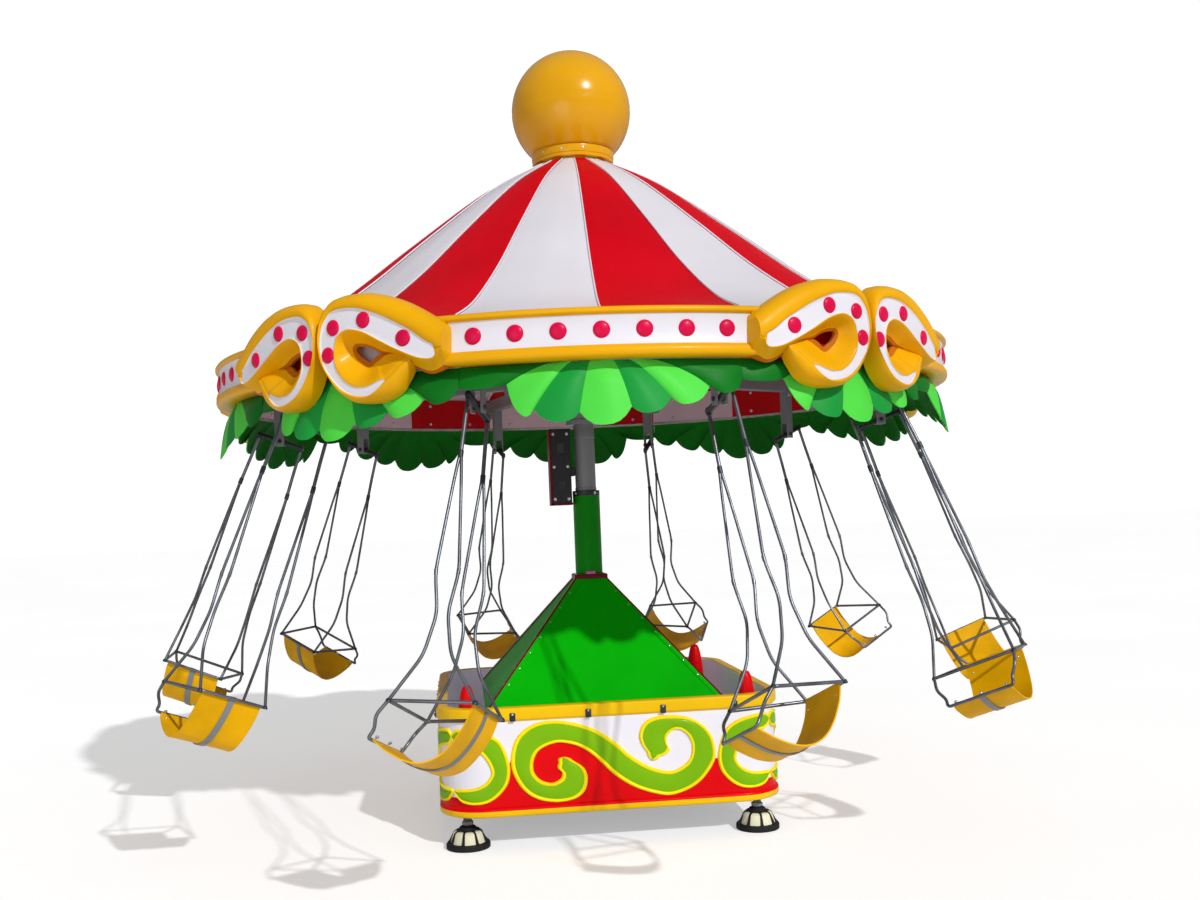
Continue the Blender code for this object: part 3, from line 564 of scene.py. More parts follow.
def build_floor():
    """The floor plate, with its bolts along the front and the back."""
    shape = Shape()
    corner = TUB_CORNER - 0.0083
    outline = []
    for quarter in range(4):
        turn = quarter * math.pi / 2
        c = Matrix.Rotation(turn, 2) @ Vector((TUB_FLAT, -TUB_FLAT))
        for k in range(9):
            t = math.radians(-90 + 90 * k / 8) + turn
            outline.append((c.x + corner * math.cos(t), c.y + corner * math.sin(t)))
    rings = []
    for inward, level in ((0.0, 0.2003), (0.0, 0.2052), (0.0008, 0.206)):
        rings.append([(x * (1 - inward), y * (1 - inward), level) for x, y in outline])
    shape.loft(rings)
    for x in (-0.275, 0.0, 0.275):
        for y in (-0.61, 0.61):
            shape.bolt(shifted(x, y, 0.206), 0.005, 1)
    put(mesh_of(shape, "tub_floor", [GREY, BRIGHT]), "tub_floor_plate", "base", "tub_floor")


def build_chassis():
    """Two crossed beams with a plate, a foot socket and two bolts at each end."""
    shape = Shape()
    flipped = Matrix.Rotation(math.pi, 4, "X")
    for turn in (45, -45):
        matrix = turn_z(math.radians(turn))
        shape.box((-0.800, -0.040, 0.1402), (0.800, 0.040, 0.1998), 0, 0.004, matrix)
        for end in (-1, 1):
            plate = matrix @ shifted(end * 0.7862, 0, 0)
            shape.box((-0.003, -0.0402, 0.140), (0.003, 0.0402, 0.2), 0, 0.001, plate)
            seat = matrix @ shifted(end * 0.7863, 0, 0)
            shape.turned([(0, 0.1400), (0.032, 0.1400), (0.032, 0.1404), (0, 0.1404)], 20, 0, seat)
            for x, y in ((-0.05, -0.026), (0.05, 0.026)):
                shape.bolt(seat @ shifted(x - end * 0.06, y, 0.1402) @ flipped, 0.006, 1)
    mesh = mesh_of(shape, "chassis", [DARK_STEEL, BRIGHT])
    put(mesh, "chassis_beams", "base", "chassis_frame")


def build_feet():
    """A ribbed pad under a threaded stem with its lock nut."""
    shape = Shape()
    pad = [(0, 0), (0.081, 0), (0.083, 0.002), (0.083, 0.017), (0.080, 0.021)]
    pad += [(0.073, 0.0225), (0.060, 0.0225), (0, 0.0225)]
    shape.turned(pad, 40)
    shape.turned([(0.058, 0.0220), (0.0665, 0.0226), (0.056, 0.058), (0.048, 0.064), (0, 0.064)], 40, 1)
    for k in range(8):
        matrix = turn_z(math.pi / 4 * k + 0.2)
        rows = []
        for x, top in ((0.020, 0.074), (0.042, 0.070), (0.056, 0.060), (0.072, 0.030), (0.079, 0.0225)):
            section = ((-0.0055, 0.021), (-0.004, top), (0.004, top), (0.0055, 0.021))
            rows.append([matrix @ Vector((x, y, z)) for y, z in section])
        shape.loft(rows)
    shape.turned([(0, 0.060), (0.034, 0.060), (0.034, 0.074), (0.029, 0.080), (0.018, 0.085), (0, 0.085)], 24)
    thread = [(0.0140 if k % 2 else 0.0160, 0.084 + 0.0013 * k) for k in range(24)]
    shape.turned([(0, 0.083), *thread, (0, 0.116)], 18, 2)
    nut = [(0, 0.086), (0.0215, 0.086), (0.0225, 0.088), (0.0225, 0.097), (0.0215, 0.099), (0, 0.099)]
    shape.turned(nut, 6, 2)
    shape.turned([(0, 0.114), (0.017, 0.114), (0.017, 0.1392), (0, 0.1392)], 24, 2)
    mesh = mesh_of(shape, "foot", [RUBBER, CREAM, GREY], 32)
    corners = [(-1, -1), (1, -1), (1, 1), (-1, 1)]
    for number, (sx, sy) in enumerate(corners, start=1):
        where = shifted(sx * FOOT_SPREAD, sy * FOOT_SPREAD, 0) @ turn_z(0.3 * number)
        put(mesh, f"foot_{number}", "base", f"levelling_foot_{number}", where)


def build_domes():
    """Blunt red posts in both front corners and the right rear one, with a moulded seam round each."""
    shape = Shape()
    form = [(0.0404, 0.300), (0.0391, 0.420), (0.0371, 0.470), (0.0341, 0.512), (0.0306, 0.540)]
    form += [(0.0258, 0.566), (0.0198, 0.588), (0.0124, 0.600), (0.0, 0.6046)]
    foot = [(0, 0.2068), (0.0408, 0.2068), (0.0408, 0.214), (0.0404, 0.220)]
    shape.turned(foot + smoothed(form, 4), 40)
    shape.turned([(0.0330, 0.5145), (0.0344, 0.516), (0.0344, 0.520), (0.0325, 0.5215)], 40)
    mesh = mesh_of(shape, "dome", [TUB_RED], 50)
    for side, x, y in (("left", -0.540, -0.515), ("right", 0.540, -0.515), ("rear", 0.540, 0.515)):
        put(mesh, f"dome_{side}", "base", f"corner_dome_{side}", shifted(x, y, 0))


# Cover

COVER_SHEET = 0.006
COVER_LIP = [(0.014, 0.014, 0.4846), (0.0213, 0.0215, 0.4850)]
COVER_LIP += [(0.0217, 0.0220, 0.4875), (0.0190, 0.0193, 0.4905)]


def cover_point(u, t, side_number, inset=0.0):
    """A point on the cover's front slope: u from -1 to 1 across, t from 0 at the eave to 1 at the top."""
    half, level = mix((COVER_HALF - 0.010, COVER_EAVE + 0.020), (COVER_TOP_HALF, COVER_TOP), t)
    swell = noise.noise(Vector((u * 2.2 + side_number * 7.1, t * 2.6, 3.7)))
    crease = noise.noise(Vector((u * 6.0 + side_number * 3.3, t * 1.4, 9.2)))
    depth = 0.0025 + 0.0024 * swell + 0.0012 * crease
    sink = depth * math.sin(math.pi * min(t * 1.02, 1.0)) * (1 - u**4) + inset
    return Vector((u * (half - GAP), -half + sink * 0.76, level - sink * 0.64))


def build_cover():
    up = 30
    across = [2 * k / 36 - 1 for k in range(37)]
    skirt = COVER_HALF - 0.020
    for k, side in enumerate(SIDES):
        shape = Shape()
        rows = []
        for inset, level in ((COVER_SHEET, 0.2066), (0.0, 0.2066), (0.0, 0.484)):
            rows.append([(u * (skirt - GAP - inset), -skirt + inset, level) for u in across])
        for wide, out, level in COVER_LIP:
            rows.append([(u * (COVER_HALF + wide), -COVER_HALF - out, level) for u in across])
        lip = len(rows) - 1
        rows += [[cover_point(u, i / up, k) for u in across] for i in range(up + 1)]
        rows += [[cover_point(u, 1.0 - i / up, k, COVER_SHEET) for u in across] for i in range(up + 1)]
        shape.grid(rows, lambda i, j: 1 if i < lip else 0)
        mesh = mesh_of(shape, f"cover_{side}", [PYRAMID, MAST], 50)
        put(mesh, f"cover_{side}_skin", "base", f"cover_{side}", turn_z(k * math.pi / 2))


def hip_strip():
    """A folded angle strip over one hip, with its rivets."""
    shape = Shape()
    low = Vector((COVER_HALF - 0.0095, -COVER_HALF + 0.0095, COVER_EAVE + 0.0204))
    high = Vector((COVER_TOP_HALF + 0.0005, -COVER_TOP_HALF - 0.0005, COVER_TOP + 0.0004))
    toe = Vector((COVER_HALF + 0.0222, -COVER_HALF - 0.0222, COVER_EAVE - 0.0195))
    lift = Vector((0.001, -0.001, 0.004))
    rows = []
    for corner in [toe, low] + [low.lerp(high, k / 12) for k in range(1, 13)]:
        left, right = corner - Vector((0.0250, 0, 0)), corner + Vector((0, 0.0250, 0))
        ring = [left, left + lift * 0.7, corner - Vector((0.008, 0, 0)) + lift, corner + lift * 1.25]
        ring += [corner + Vector((0, 0.008, 0)) + lift, right + lift * 0.7, right, corner]
        rows.append(ring)
    shape.grid(rows, lambda i, j: 3 if j in (2, 3) else 1 if 4 <= j <= 6 else 0, wrap=True)
    wings = ((Vector((-0.016, 0, 0)), (0, -0.76, 0.64)), (Vector((0, 0.016, 0)), (0.76, 0, 0.64)))
    for k in range(1, 8):
        for shift, out in wings:
            at = low.lerp(high, k / 8) + shift + Vector(out) * 0.0028
            shape.dome(facing(at, out), 0.0036, 0.0020, 2, 10, 3)
    return shape


def build_hips():
    """Four strips, green on the front and back faces and maroon on the side ones, with a collar on top."""
    shape = Shape()
    strip = hip_strip()
    for quarter in range(4):
        slots = (0, 3, 1, 0) if quarter % 2 else (3, 0, 1, 0)
        shape.add(strip, turn_z(quarter * math.pi / 2), slots)
    half = COVER_TOP_HALF + 0.0056
    rings = []
    for inset, rise in ((0.0, 0.0006), (0.0, 0.016), (0.003, 0.0196)):
        rings.append(square_ring(half - inset, COVER_TOP + rise))
    inner = [(0.0592 * x / math.hypot(x, y), 0.0592 * y / math.hypot(x, y)) for x, y, _ in rings[0]]
    rings += [[(x, y, COVER_TOP + rise) for x, y in inner] for rise in (0.0198, 0.0006)]
    # The collar is maroon, and its flat top is pink: painted highlight.
    shape.grid(rings + rings[:1], [0, 0, 2, 0, 0], wrap=True)
    edge = -COVER_TOP_HALF
    # A small block at the collar's front, pink: painted highlight.
    shape.box((-0.020, edge - 0.004, COVER_TOP + 0.018), (0.020, edge + 0.008, COVER_TOP + 0.034), 2, 0.003)
    for x, y in ((-0.060, -0.060), (0.060, -0.060), (0.060, 0.060), (-0.060, 0.060)):
        shape.bolt(shifted(x, y, COVER_TOP + 0.0190), 0.0036, 1)
    mesh = mesh_of(shape, "hips", [MAROON, BRIGHT, PINK_HIGHLIGHT, PYRAMID])
    put(mesh, "cover_hip_strips", "base", "cover_hips")


def square_ring(half, level, count=8):
    ring = []
    for quarter in range(4):
        for k in range(count):
            point = Vector((half * (2 * k / count - 1), -half))
            turned = Matrix.Rotation(quarter * math.pi / 2, 2) @ point
            ring.append((turned.x, turned.y, level))
    return ring


# Mast

def build_mast():
    shape = Shape()
    wall = MAST_RADIUS - 0.0004
    profile = [(0, 0.2068), (0.148, 0.2068), (0.150, 0.209), (0.150, 0.219), (0.148, 0.2208), (0.066, 0.2208)]
    profile += [(0.0600, 0.2275), (wall, 0.233), (wall, 1.3150), (MAST_RADIUS, 1.3160)]
    profile += [(MAST_RADIUS, 1.3355), (MAST_RADIUS - 0.0015, 1.3370), (0, 1.3370)]
    shape.turned(profile, 56, [0] * 8 + [1] * 4)
    for k in range(8):
        t = math.pi / 4 * (k + 0.5)
        shape.bolt(shifted(0.115 * math.cos(t), 0.115 * math.sin(t), 0.2208), 0.009, 2)
    for seat in facing_round(4, 0.0573, 1.326, 0.6):
        shape.bolt(seat, 0.0045, 2)
    mesh = mesh_of(shape, "mast_column", [MAST, BLACK, BRIGHT])
    put(mesh, "mast_column_tube", "base", "mast_column")


def build_inner_mast():
    shape = Shape()
    r = INNER_RADIUS
    low = MAST_TOP + GAP
    profile = [(0, low), (r, low), (r, low + 0.012), (r - 0.0015, low + 0.014), (r - 0.0015, 1.560)]
    profile += [(r, 1.562), (r, 1.588), (r - 0.001, 1.590), (r - 0.001, INNER_TOP), (0, INNER_TOP)]
    shape.turned(profile, 48)
    put(mesh_of(shape, "mast_inner", [GREY]), "mast_inner_tube", "base", "mast_inner")


def build_drive_box():
    shape = Shape()
    shape.box((-0.1520, -0.0480, 1.2800), (-0.0640, 0.0480, 1.5980), 0, 0.004)
    shape.box((-0.1540, -0.0500, 1.2780), (-0.1440, 0.0500, 1.6000), 1, 0.002)
    shape.box((-0.1536, -0.0500, 1.2780), (-0.0620, 0.0500, 1.2890), 1, 0.002)
    shape.box((-0.1536, -0.0500, 1.5910), (-0.0620, 0.0500, 1.6000), 0, 0.002)
    shape.box((-0.0700, -0.0195, 1.4005), (-INNER_RADIUS - GAP, 0.0195, 1.4395), 3, 0.002)
    for x in (-0.136, -0.078):
        for z in (1.304, 1.44, 1.578):
            shape.bolt(facing((x, -0.048, z), (0, -1, 0)), 0.0042, 2, 0.4)
    for z in (1.36, 1.52):
        shape.box((-0.122, -0.0492, z - 0.020), (-0.092, -0.0478, z + 0.020), 3, 0.0006)
    mesh = mesh_of(shape, "drive_box", [BLACK, MAROON, BRIGHT, DARK_STEEL])
    put(mesh, "drive_box_case", "base", "drive_box")


# Rotor

def build_head():
    shape = Shape()
    low = INNER_TOP + GAP
    profile = [(0, low), (0.072, low), (0.075, low + 0.003), (0.075, 1.636), (0.071, 1.640), (0.071, 1.760)]
    profile += [(0.0746, 1.764), (0.0746, 1.894), (0.0720, 1.899), (0.060, 1.900), (0.050, 1.906)]
    profile += [(0.045, 1.915), (0.0448, 2.6900), (0.0448, 2.7040), (0, 2.7040)]
    shape.turned(profile, 48)
    for seat in facing_round(8, 0.0705, 1.652):
        shape.bolt(seat, 0.0045, 1, 0.4)
    put(mesh_of(shape, "mast_head", [GREY, BRIGHT]), "mast_head_bearing", "rotor", "mast_head")


def chair_angle(number):
    """Angle from -Y towards +X of a chair on the rotor."""
    return math.radians(360.0 / CHAIRS * (number - 0.5))


def build_arm():
    """One arm along +X, with its gusset, its forked post and the plate at its end."""
    shape = Shape()
    shape.box((0.112, -0.0198, 1.8002), (1.4190, 0.0198, 1.8598), 0, 0.004)
    shape.box((0.121, -0.0045, 1.752), (0.330, 0.0045, 1.802), 0, 0.002)
    for side in (-1, 1):
        cheek = side * 0.0183
        shape.box((1.2602, cheek - 0.003, 1.574), (1.2998, cheek + 0.003, 1.806), 0, 0.0015)
        shape.bolt(facing((PIVOT_RADIUS, side * 0.0213, PIVOT_LEVEL), (0, side, 0)), 0.0042, 1, 0.35)
        shape.bolt(facing((PIVOT_RADIUS, side * 0.0213, 1.782), (0, side, 0)), 0.0050, 1, 0.35)
    shape.box((1.2604, -0.0160, 1.645), (1.2996, 0.0160, 1.802), 0, 0.001)
    shape.box((1.4100, -0.0330, 1.7700), (1.4196, 0.0330, 1.8625), 0, 0.002)
    return shape


def build_canopy_frame():
    shape = Shape()
    arm = build_arm()
    for number in range(CHAIRS):
        shape.add(arm, turn_z(chair_angle(number) - math.pi / 2 + ROTOR_YAW))
    hub = [(0.0756, 1.790), (0.118, 1.790), (0.120, 1.792), (0.120, 1.868), (0.118, 1.870), (0.0756, 1.870)]
    shape.turned(hub + hub[:1], 48)
    ring = [(0.690, 1.8605), (0.715, 1.8605), (0.715, 1.8665), (0.690, 1.8665)]
    shape.turned(ring + ring[:1], 80)
    for seat in facing_round(20, 0.120, 1.83, ROTOR_YAW):
        shape.bolt(seat, 0.006, 1, 0.4)
    mesh = mesh_of(shape, "canopy_frame", [GREY, BRIGHT])
    put(mesh, "canopy_arms", "rotor", "canopy_frame")


FACET = math.radians(9.0)


def gore_rows(gore, line):
    """The outside and the inside of one gore, on the flat facets of the solid roof."""
    across = 10
    width = 2 * math.pi / GORES
    start = gore * width + ROTOR_YAW
    outside, inside = [], []
    for r, z in line:
        share = (z - line[-1][1]) / (line[0][1] - line[-1][1])
        row, back = [], []
        for k in range(across + 1):
            u = 2 * k / across - 1
            edge = k in (0, across)
            swell = 0.0032 * noise.noise(Vector((gore * 3.1 + u, r * 3.0, 1.3))) * (1 - u * u)
            groove = 0.0030 * edge + 0.0006 * abs(u) ** 6
            sink = max(0.0045 - swell + groove - 0.0030 * (1 - u * u) * (1 - share), 0.0006)
            angle = start + width * (k / across)
            if edge:
                angle -= math.copysign(0.0009 / r, u)
            chord = r * math.cos(FACET / 2) / math.cos((angle - start) % FACET - FACET / 2)
            row.append(polar(angle, chord - sink * 0.62, z - sink * 0.78))
            back.append(polar(angle, chord - 0.0050, z - 0.0085))
        outside.append(row)
        inside.append(back)
    return outside, inside


def build_roof():
    """Twenty gores, red and white by turns, with white piping at each joint whose white is partly painted
    highlight, on an underside in darker, greyer copies of the red and white: painted shade.
    """
    shape = Shape()
    line = smoothed(ROOF_PROFILE, 6)
    for gore in range(GORES):
        outside, inside = gore_rows(gore, line)
        own = gore % 2
        shape.grid(outside, own)
        # The underside takes the darker, greyer copies of the red and white: painted shade.
        shape.grid(inside, 2 + own)
        for end in (-1, 0):
            shape.grid([outside[end], inside[end]], own)
    for seam in range(GORES):
        a = seam * 2 * math.pi / GORES + ROTOR_YAW
        # The bead at each joint is white, partly as piping and partly as painted highlight along the seams.
        shape.tube([polar(a, r - 0.0023, z - 0.0028) for r, z in line], 0.0026, 8, 4)
    mesh = mesh_of(shape, "roof", [RED, WHITE, UNDER_RED_SHADED, UNDER_WHITE_SHADED, TUB_WHITE], 40)
    put(mesh, "roof_gores", "rotor", "roof_shell")


def build_roof_edge():
    """The upright band under the roof, with a bead along its foot and two rows of bolts inside it."""
    shape = Shape()
    inner, outer = EDGE_RADIUS - 0.0058, EDGE_RADIUS - 0.0002
    low, high = 1.7072, 1.8662
    segments = 160
    phase = ROTOR_YAW - math.pi / 2
    band = [(inner, low), (outer, low), (outer, high), (inner, high), (inner, low)]
    # The band takes the darker, greyer copies of the roof's red and white: painted shade.
    shape.turned(band, segments, lambda i, j: j * GORES // segments % 2, phase=phase)
    bead = [(inner - 0.004, 1.709), (inner, low), (inner, 1.720), (inner - 0.004, 1.718)]
    shape.turned(bead + bead[:1], segments, 2, phase=phase)
    for level in (1.742, 1.835):
        for seat in facing_round(40, inner - 0.0002, level, phase + math.radians(4.5), -1):
            shape.bolt(seat, 0.005, 2, 0.5)
    mesh = mesh_of(shape, "roof_edge", [UNDER_WHITE_SHADED, UNDER_RED_SHADED, BRIGHT], 40)
    put(mesh, "roof_edge_band", "rotor", "roof_edge")


def build_collar():
    shape = Shape()
    profile = [(0, 2.7055), (0.1462, 2.7055), (0.1462, 2.7205), (0.1700, 2.7205), (0.1718, 2.7225)]
    profile += [(0.1726, 2.7300), (0.1700, 2.7325), (0.1700, 2.7350), (0.1728, 2.7375), (0.1740, 2.7450)]
    profile += [(0.1745, 2.7600), (0.1735, 2.7675), (0.1700, 2.7698), (0, 2.7698)]
    shape.turned(profile, 72)
    for seat in facing_round(12, 0.1742, 2.752, math.radians(9)):
        shape.dome(seat, 0.0045, 0.0008, 1, 10, 2)
    put(mesh_of(shape, "collar", [BALL, BRIGHT]), "collar_ring", "rotor", "roof_collar")


def build_ball():
    """The ball, cut flat where it stands on the collar, with a fine seam round its middle."""
    shape = Shape()
    radius, level, foot = 0.252, 2.948, 2.7703
    start = math.asin((foot - level) / radius)
    profile = [(0, foot)]
    for k in range(61):
        t = start + (math.pi / 2 - start) * k / 60
        own = radius - (0.0011 if abs(t) < 0.006 else 0.0)
        profile.append((own * math.cos(t), level + own * math.sin(t)))
    shape.turned(profile, 120)
    put(mesh_of(shape, "ball", [BALL], 60), "ball_shell", "rotor", "finial_ball")


# Crown

BOARD = [(1.4305, 1.7075), (1.4600, 1.7070), (1.4820, 1.7085), (1.4915, 1.7140), (1.4948, 1.7230)]
BOARD += [(1.4940, 1.7340), (1.4895, 1.7425), (1.4835, 1.7455), (1.4815, 1.7480), (1.4815, 1.7940)]
BOARD += [(1.4815, 1.8400), (1.4835, 1.8425), (1.4900, 1.8440), (1.4942, 1.8485), (1.4946, 1.8545)]
BOARD += [(1.4900, 1.8610), (1.4800, 1.8645), (1.4400, 1.8650), (1.4305, 1.8640), (1.4305, 1.7075)]

# Stations along the scroll: angle in degrees and level of its outer edge, its field's two edges and its hole
VOLUTE = [
    (18.44, 1.833, 18.88, 1.814, 18.36, 1.712, 18.74, 1.703),
    (19.81, 1.860, 20.37, 1.789, 19.74, 1.720, 20.86, 1.688),
    (21.71, 1.891, 22.61, 1.824, 21.82, 1.737, 22.62, 1.705),
    (23.56, 1.917, 24.14, 1.846, 23.63, 1.758, 24.00, 1.728),
    (25.26, 1.936, 25.83, 1.870, 25.09, 1.777, 25.83, 1.757),
    (26.78, 1.948, 27.35, 1.888, 26.71, 1.801, 27.49, 1.767),
    (28.57, 1.959, 29.14, 1.905, 28.38, 1.826, 28.63, 1.786),
    (30.19, 1.962, 30.76, 1.912, 29.76, 1.840, 29.83, 1.801),
    (32.11, 1.961, 32.43, 1.913, 31.17, 1.846, 31.05, 1.811),
    (33.55, 1.953, 33.61, 1.906, 32.34, 1.835, 32.05, 1.814),
    (34.60, 1.936, 34.36, 1.890, 33.00, 1.815, 32.44, 1.807),
    (35.28, 1.912, 34.95, 1.870, 33.24, 1.792, 32.46, 1.796),
    (35.66, 1.884, 35.32, 1.843, 33.34, 1.768, 32.18, 1.782),
    (35.84, 1.852, 35.50, 1.813, 33.28, 1.745, 31.73, 1.770),
    (35.84, 1.818, 35.40, 1.777, 33.05, 1.726, 31.18, 1.757),
    (35.66, 1.780, 34.95, 1.736, 32.52, 1.704, 30.55, 1.748),
    (35.20, 1.742, 34.10, 1.705, 31.78, 1.683, 29.93, 1.738),
    (34.60, 1.703, 33.05, 1.674, 30.55, 1.664, 29.44, 1.730),
    (33.80, 1.666, 31.81, 1.649, 29.39, 1.659, 29.21, 1.729),
    (32.70, 1.638, 30.45, 1.635, 28.50, 1.660, 29.02, 1.730),
    (31.30, 1.616, 29.16, 1.630, 27.63, 1.667, 28.75, 1.734),
    (29.58, 1.610, 27.94, 1.633, 26.89, 1.675, 28.42, 1.741),
    (27.87, 1.611, 26.79, 1.652, 26.27, 1.681, 28.09, 1.750),
    (26.15, 1.622, 25.73, 1.683, 25.83, 1.684, 27.76, 1.756),
    (24.91, 1.641, 24.99, 1.700, 25.11, 1.701, 27.44, 1.761),
    (24.13, 1.667, 24.31, 1.717, 24.47, 1.718, 27.00, 1.766),
    (23.55, 1.689, 23.53, 1.729, 23.68, 1.730, 26.56, 1.768),
    (23.15, 1.713, 22.95, 1.738, 23.10, 1.738, 26.23, 1.770),
]
VOLUTE_DOTS = [(23.506, 1.799), (28.862, 1.869), (33.40, 1.857), (34.36, 1.772)]
EYE = (30.1, 1.768)
FIELD_START, FIELD_END = 0.030, 0.840

# Share of the way from one edge to the next, and radius
VOLUTE_BACK = 1.4665
VOLUTE_ROLL = [(0, VOLUTE_BACK), (0, 1.492), (0.07, 1.512), (0.22, 1.529), (0.45, 1.5405), (0.70, 1.5445)]
VOLUTE_ROLL += [(0.90, 1.5425), (1, 1.5375)]
VOLUTE_FIELD = [(k, 1.5335) for k in (0.05, 0.20, 0.35, 0.50, 0.65, 0.80, 0.95)]
VOLUTE_FUNNEL = [(0, 1.5370), (0.05, 1.5380), (0.13, 1.5345), (0.30, 1.5210), (0.55, 1.5010)]
VOLUTE_FUNNEL += [(0.80, 1.4860), (1, 1.4790), (1, 1.4672)]


def volute_section(edges, side, tuck):
    """Points across the rolled band at one station: back, roll, white field, lip, funnel and hole."""
    out = []
    for near, far, profile in zip(edges, edges[1:], (VOLUTE_ROLL, VOLUTE_FIELD, VOLUTE_FUNNEL)):
        for share, r in profile:
            a, z = mix(near, far, share)
            out.append(polar(side * math.radians(a), r - tuck * max(r - VOLUTE_BACK, 0) * 0.3, z))
    return out


def field_width(share):
    """How much of the white field's full width there is: it narrows to a rounded tip at each end."""
    room = min((share - FIELD_START) / 0.055, (FIELD_END - share) / 0.075)
    room = min(max(room, 0.0), 1.0)
    return max(math.sqrt(1 - (1 - room) ** 2), 0.02)


def volute_slot(share, column):
    if 7 <= column <= 14 and FIELD_START < share < FIELD_END:
        return 1
    # The funnel's deepest faces and the hole's wall take the darker orange: painted shade.
    return 3 if column >= 20 else 0


def narrowed_hole(index, hole):
    """The hole's edge, drawn in so that the funnel leaves a small eye."""
    return mix(hole, EYE, 0.36 * min(max((index - 4) / 4, 0.0), 1.0))


def facing_away(angle, radius, level):
    """A frame at a polar point that looks away from the axis."""
    return facing(polar(angle, radius, level), polar(angle, 1.0, 0.0))


def add_board(shape):
    """The board with its white field, whose ends are raised yellow borders, and its seven dots."""
    limit, white = math.radians(20.4), math.radians(18.45)
    angles = [white * (2 * k / 48 - 1) for k in range(49)]
    angles = [-limit, -white - 0.012, -white - 0.004] + angles + [white + 0.004, white + 0.012, limit]
    rows = []
    for i, (r, z) in enumerate(BOARD):
        row = []
        for a in angles:
            proud = 0.0
            if 7 < i < 12 and abs(a) > white:
                proud = 0.008 if abs(a) > white + 0.006 else 0.005
            if abs(abs(a) - white) < 1e-6 and z > 1.79:
                a += math.copysign(math.radians(0.35), a)
            row.append(polar(a, r + proud, z))
        rows.append(row)
    shape.grid(rows, lambda i, j: 1 if 8 <= i <= 9 and 3 <= j <= 50 else 0)
    for j in (0, -1):
        shape.cap([row[j] for row in rows[:-1]])
    for k in range(-3, 4):
        shape.dome(facing_away(math.radians(5.15 * k), 1.4815, 1.794), 0.0270, 0.0095, 2, 28, 6)


def add_volute(shape, side):
    """One rolled scroll at an end of the board, with its four dots."""
    flat = [(*station[:6], *narrowed_hole(index, station[6:])) for index, station in enumerate(VOLUTE)]
    fine = smoothed(flat, 4)
    count = len(fine)
    rows = []
    for i, line in enumerate(fine):
        outer, white, inner, hole = line[:2], line[2:4], line[4:6], line[6:]
        half = field_width((i + 1) / count) / 2
        tuck = max(0.0, (i / (count - 1) - 0.80) / 0.20)
        edges = (outer, mix(white, inner, 0.5 - half), mix(white, inner, 0.5 + half), hole)
        rows.append(volute_section(edges, side, tuck))
    first = []
    for k in range(len(rows[0])):
        share = k / (len(rows[0]) - 1)
        bulge = VOLUTE_BACK + 0.012 * math.sin(math.pi * share)
        first.append(polar(side * math.radians(18.0 + 0.3 * share), bulge, 1.833 - 0.130 * share))
    rows = [first] + rows
    rows += rounded_tail(rows[-1], rows[-4])
    shape.grid(rows, lambda i, j: volute_slot(i / count, j))
    shape.cap(rows[-1])
    shape.grid([[row[0] for row in rows], [row[-1] for row in rows]])
    for a, z in VOLUTE_DOTS:
        shape.dome(facing_away(side * math.radians(a), 1.5330, z), 0.0265, 0.0085, 2, 24, 6)


def rounded_tail(end, before):
    """Sections that shrink and run on past the last one, to round the scroll's tail off."""
    centre = sum(end, Vector()) / len(end)
    ahead = (centre - sum(before, Vector()) / len(before)).normalized()
    out = []
    for k in range(1, 5):
        t = math.radians(20 * k)
        shrink = 0.25 + 0.75 * math.cos(t)
        out.append([centre + (p - centre) * shrink + ahead * 0.014 * math.sin(t) for p in end])
    return out


def put_modules(mesh, name, node):
    """Hands over a copy of the mesh for each module round the rotor."""
    for number in range(MODULES):
        matrix = turn_z(ROTOR_YAW + number * 2 * math.pi / MODULES)
        put(mesh, f"{name}_{number + 1}", "rotor", f"{node}_{number + 1}", matrix)


def build_crown():
    shape = Shape()
    add_board(shape)
    for side in (-1, 1):
        add_volute(shape, side)
    mesh = mesh_of(shape, "crown_module", [YELLOW, WHITE, CRIMSON, FUNNEL_PAINTED_SHADE], 48)
    put_modules(mesh, "crown_module", "crown")


# Garland

FAN = math.radians(36.0)
LEAF_TOP = 1.7062
LEAF_TONES = [2, 0, 1, 0, 1, 0, 2]
LEAF_TIPS = [1.632, 1.549, 1.516, 1.502, 1.536, 1.563, 1.594]
# Where the leaves meet: share of the fan's half width at the tips and at the roots, and level of the notch
LEAF_SIDES = [(-1.0, -1.0, 1.640), (-0.66, -0.34, 1.643), (-0.47, -0.21, 1.560), (-0.165, -0.08, 1.545)]
LEAF_SIDES += [(0.185, 0.08, 1.557), (0.46, 0.19, 1.583), (0.75, 0.34, 1.622), (1.0, 1.0, 1.640)]


def leaf_rows(fan, leaf):
    """The front and the back of one pleated leaf, from its root to its rounded tip."""
    across, down = 8, 14
    left, right = LEAF_SIDES[leaf:leaf + 2]
    depth = LEAF_TIPS[leaf] - (left[2] + right[2]) / 2
    front, back = [], []
    for i in range(down + 1):
        t = i / down
        row, rear = [], []
        for k in range(across + 1):
            u = k / across
            tip, root, notch = mix(left, right, u)
            bottom = notch + depth * (1 - abs(2 * u - 1) ** 2.6)
            share = root + (tip - root) * t**0.75
            angle = FAN * fan + share * FAN / 2 * 0.9995
            level = LEAF_TOP + (bottom - LEAF_TOP) * t
            drop = (LEAF_TOP - level) / 0.2062
            pleat = 0.0125 * math.sin(math.pi * u) * min(1.0, 3 * t + 0.15) - 0.007
            wave = 0.004 * noise.noise(Vector((share * 3 + fan * 5, t * 2, 4.4)))
            radius = 1.4360 + 0.050 * drop + pleat + 0.006 * math.sin(math.pi * t) + wave
            row.append(polar(angle, min(radius, 1.4895 + 0.003 * math.sin(math.pi * u)), level))
            rear.append(polar(angle, radius - 0.0045, level + 0.0005))
        front.append(row)
        back.append(rear)
    return front, back


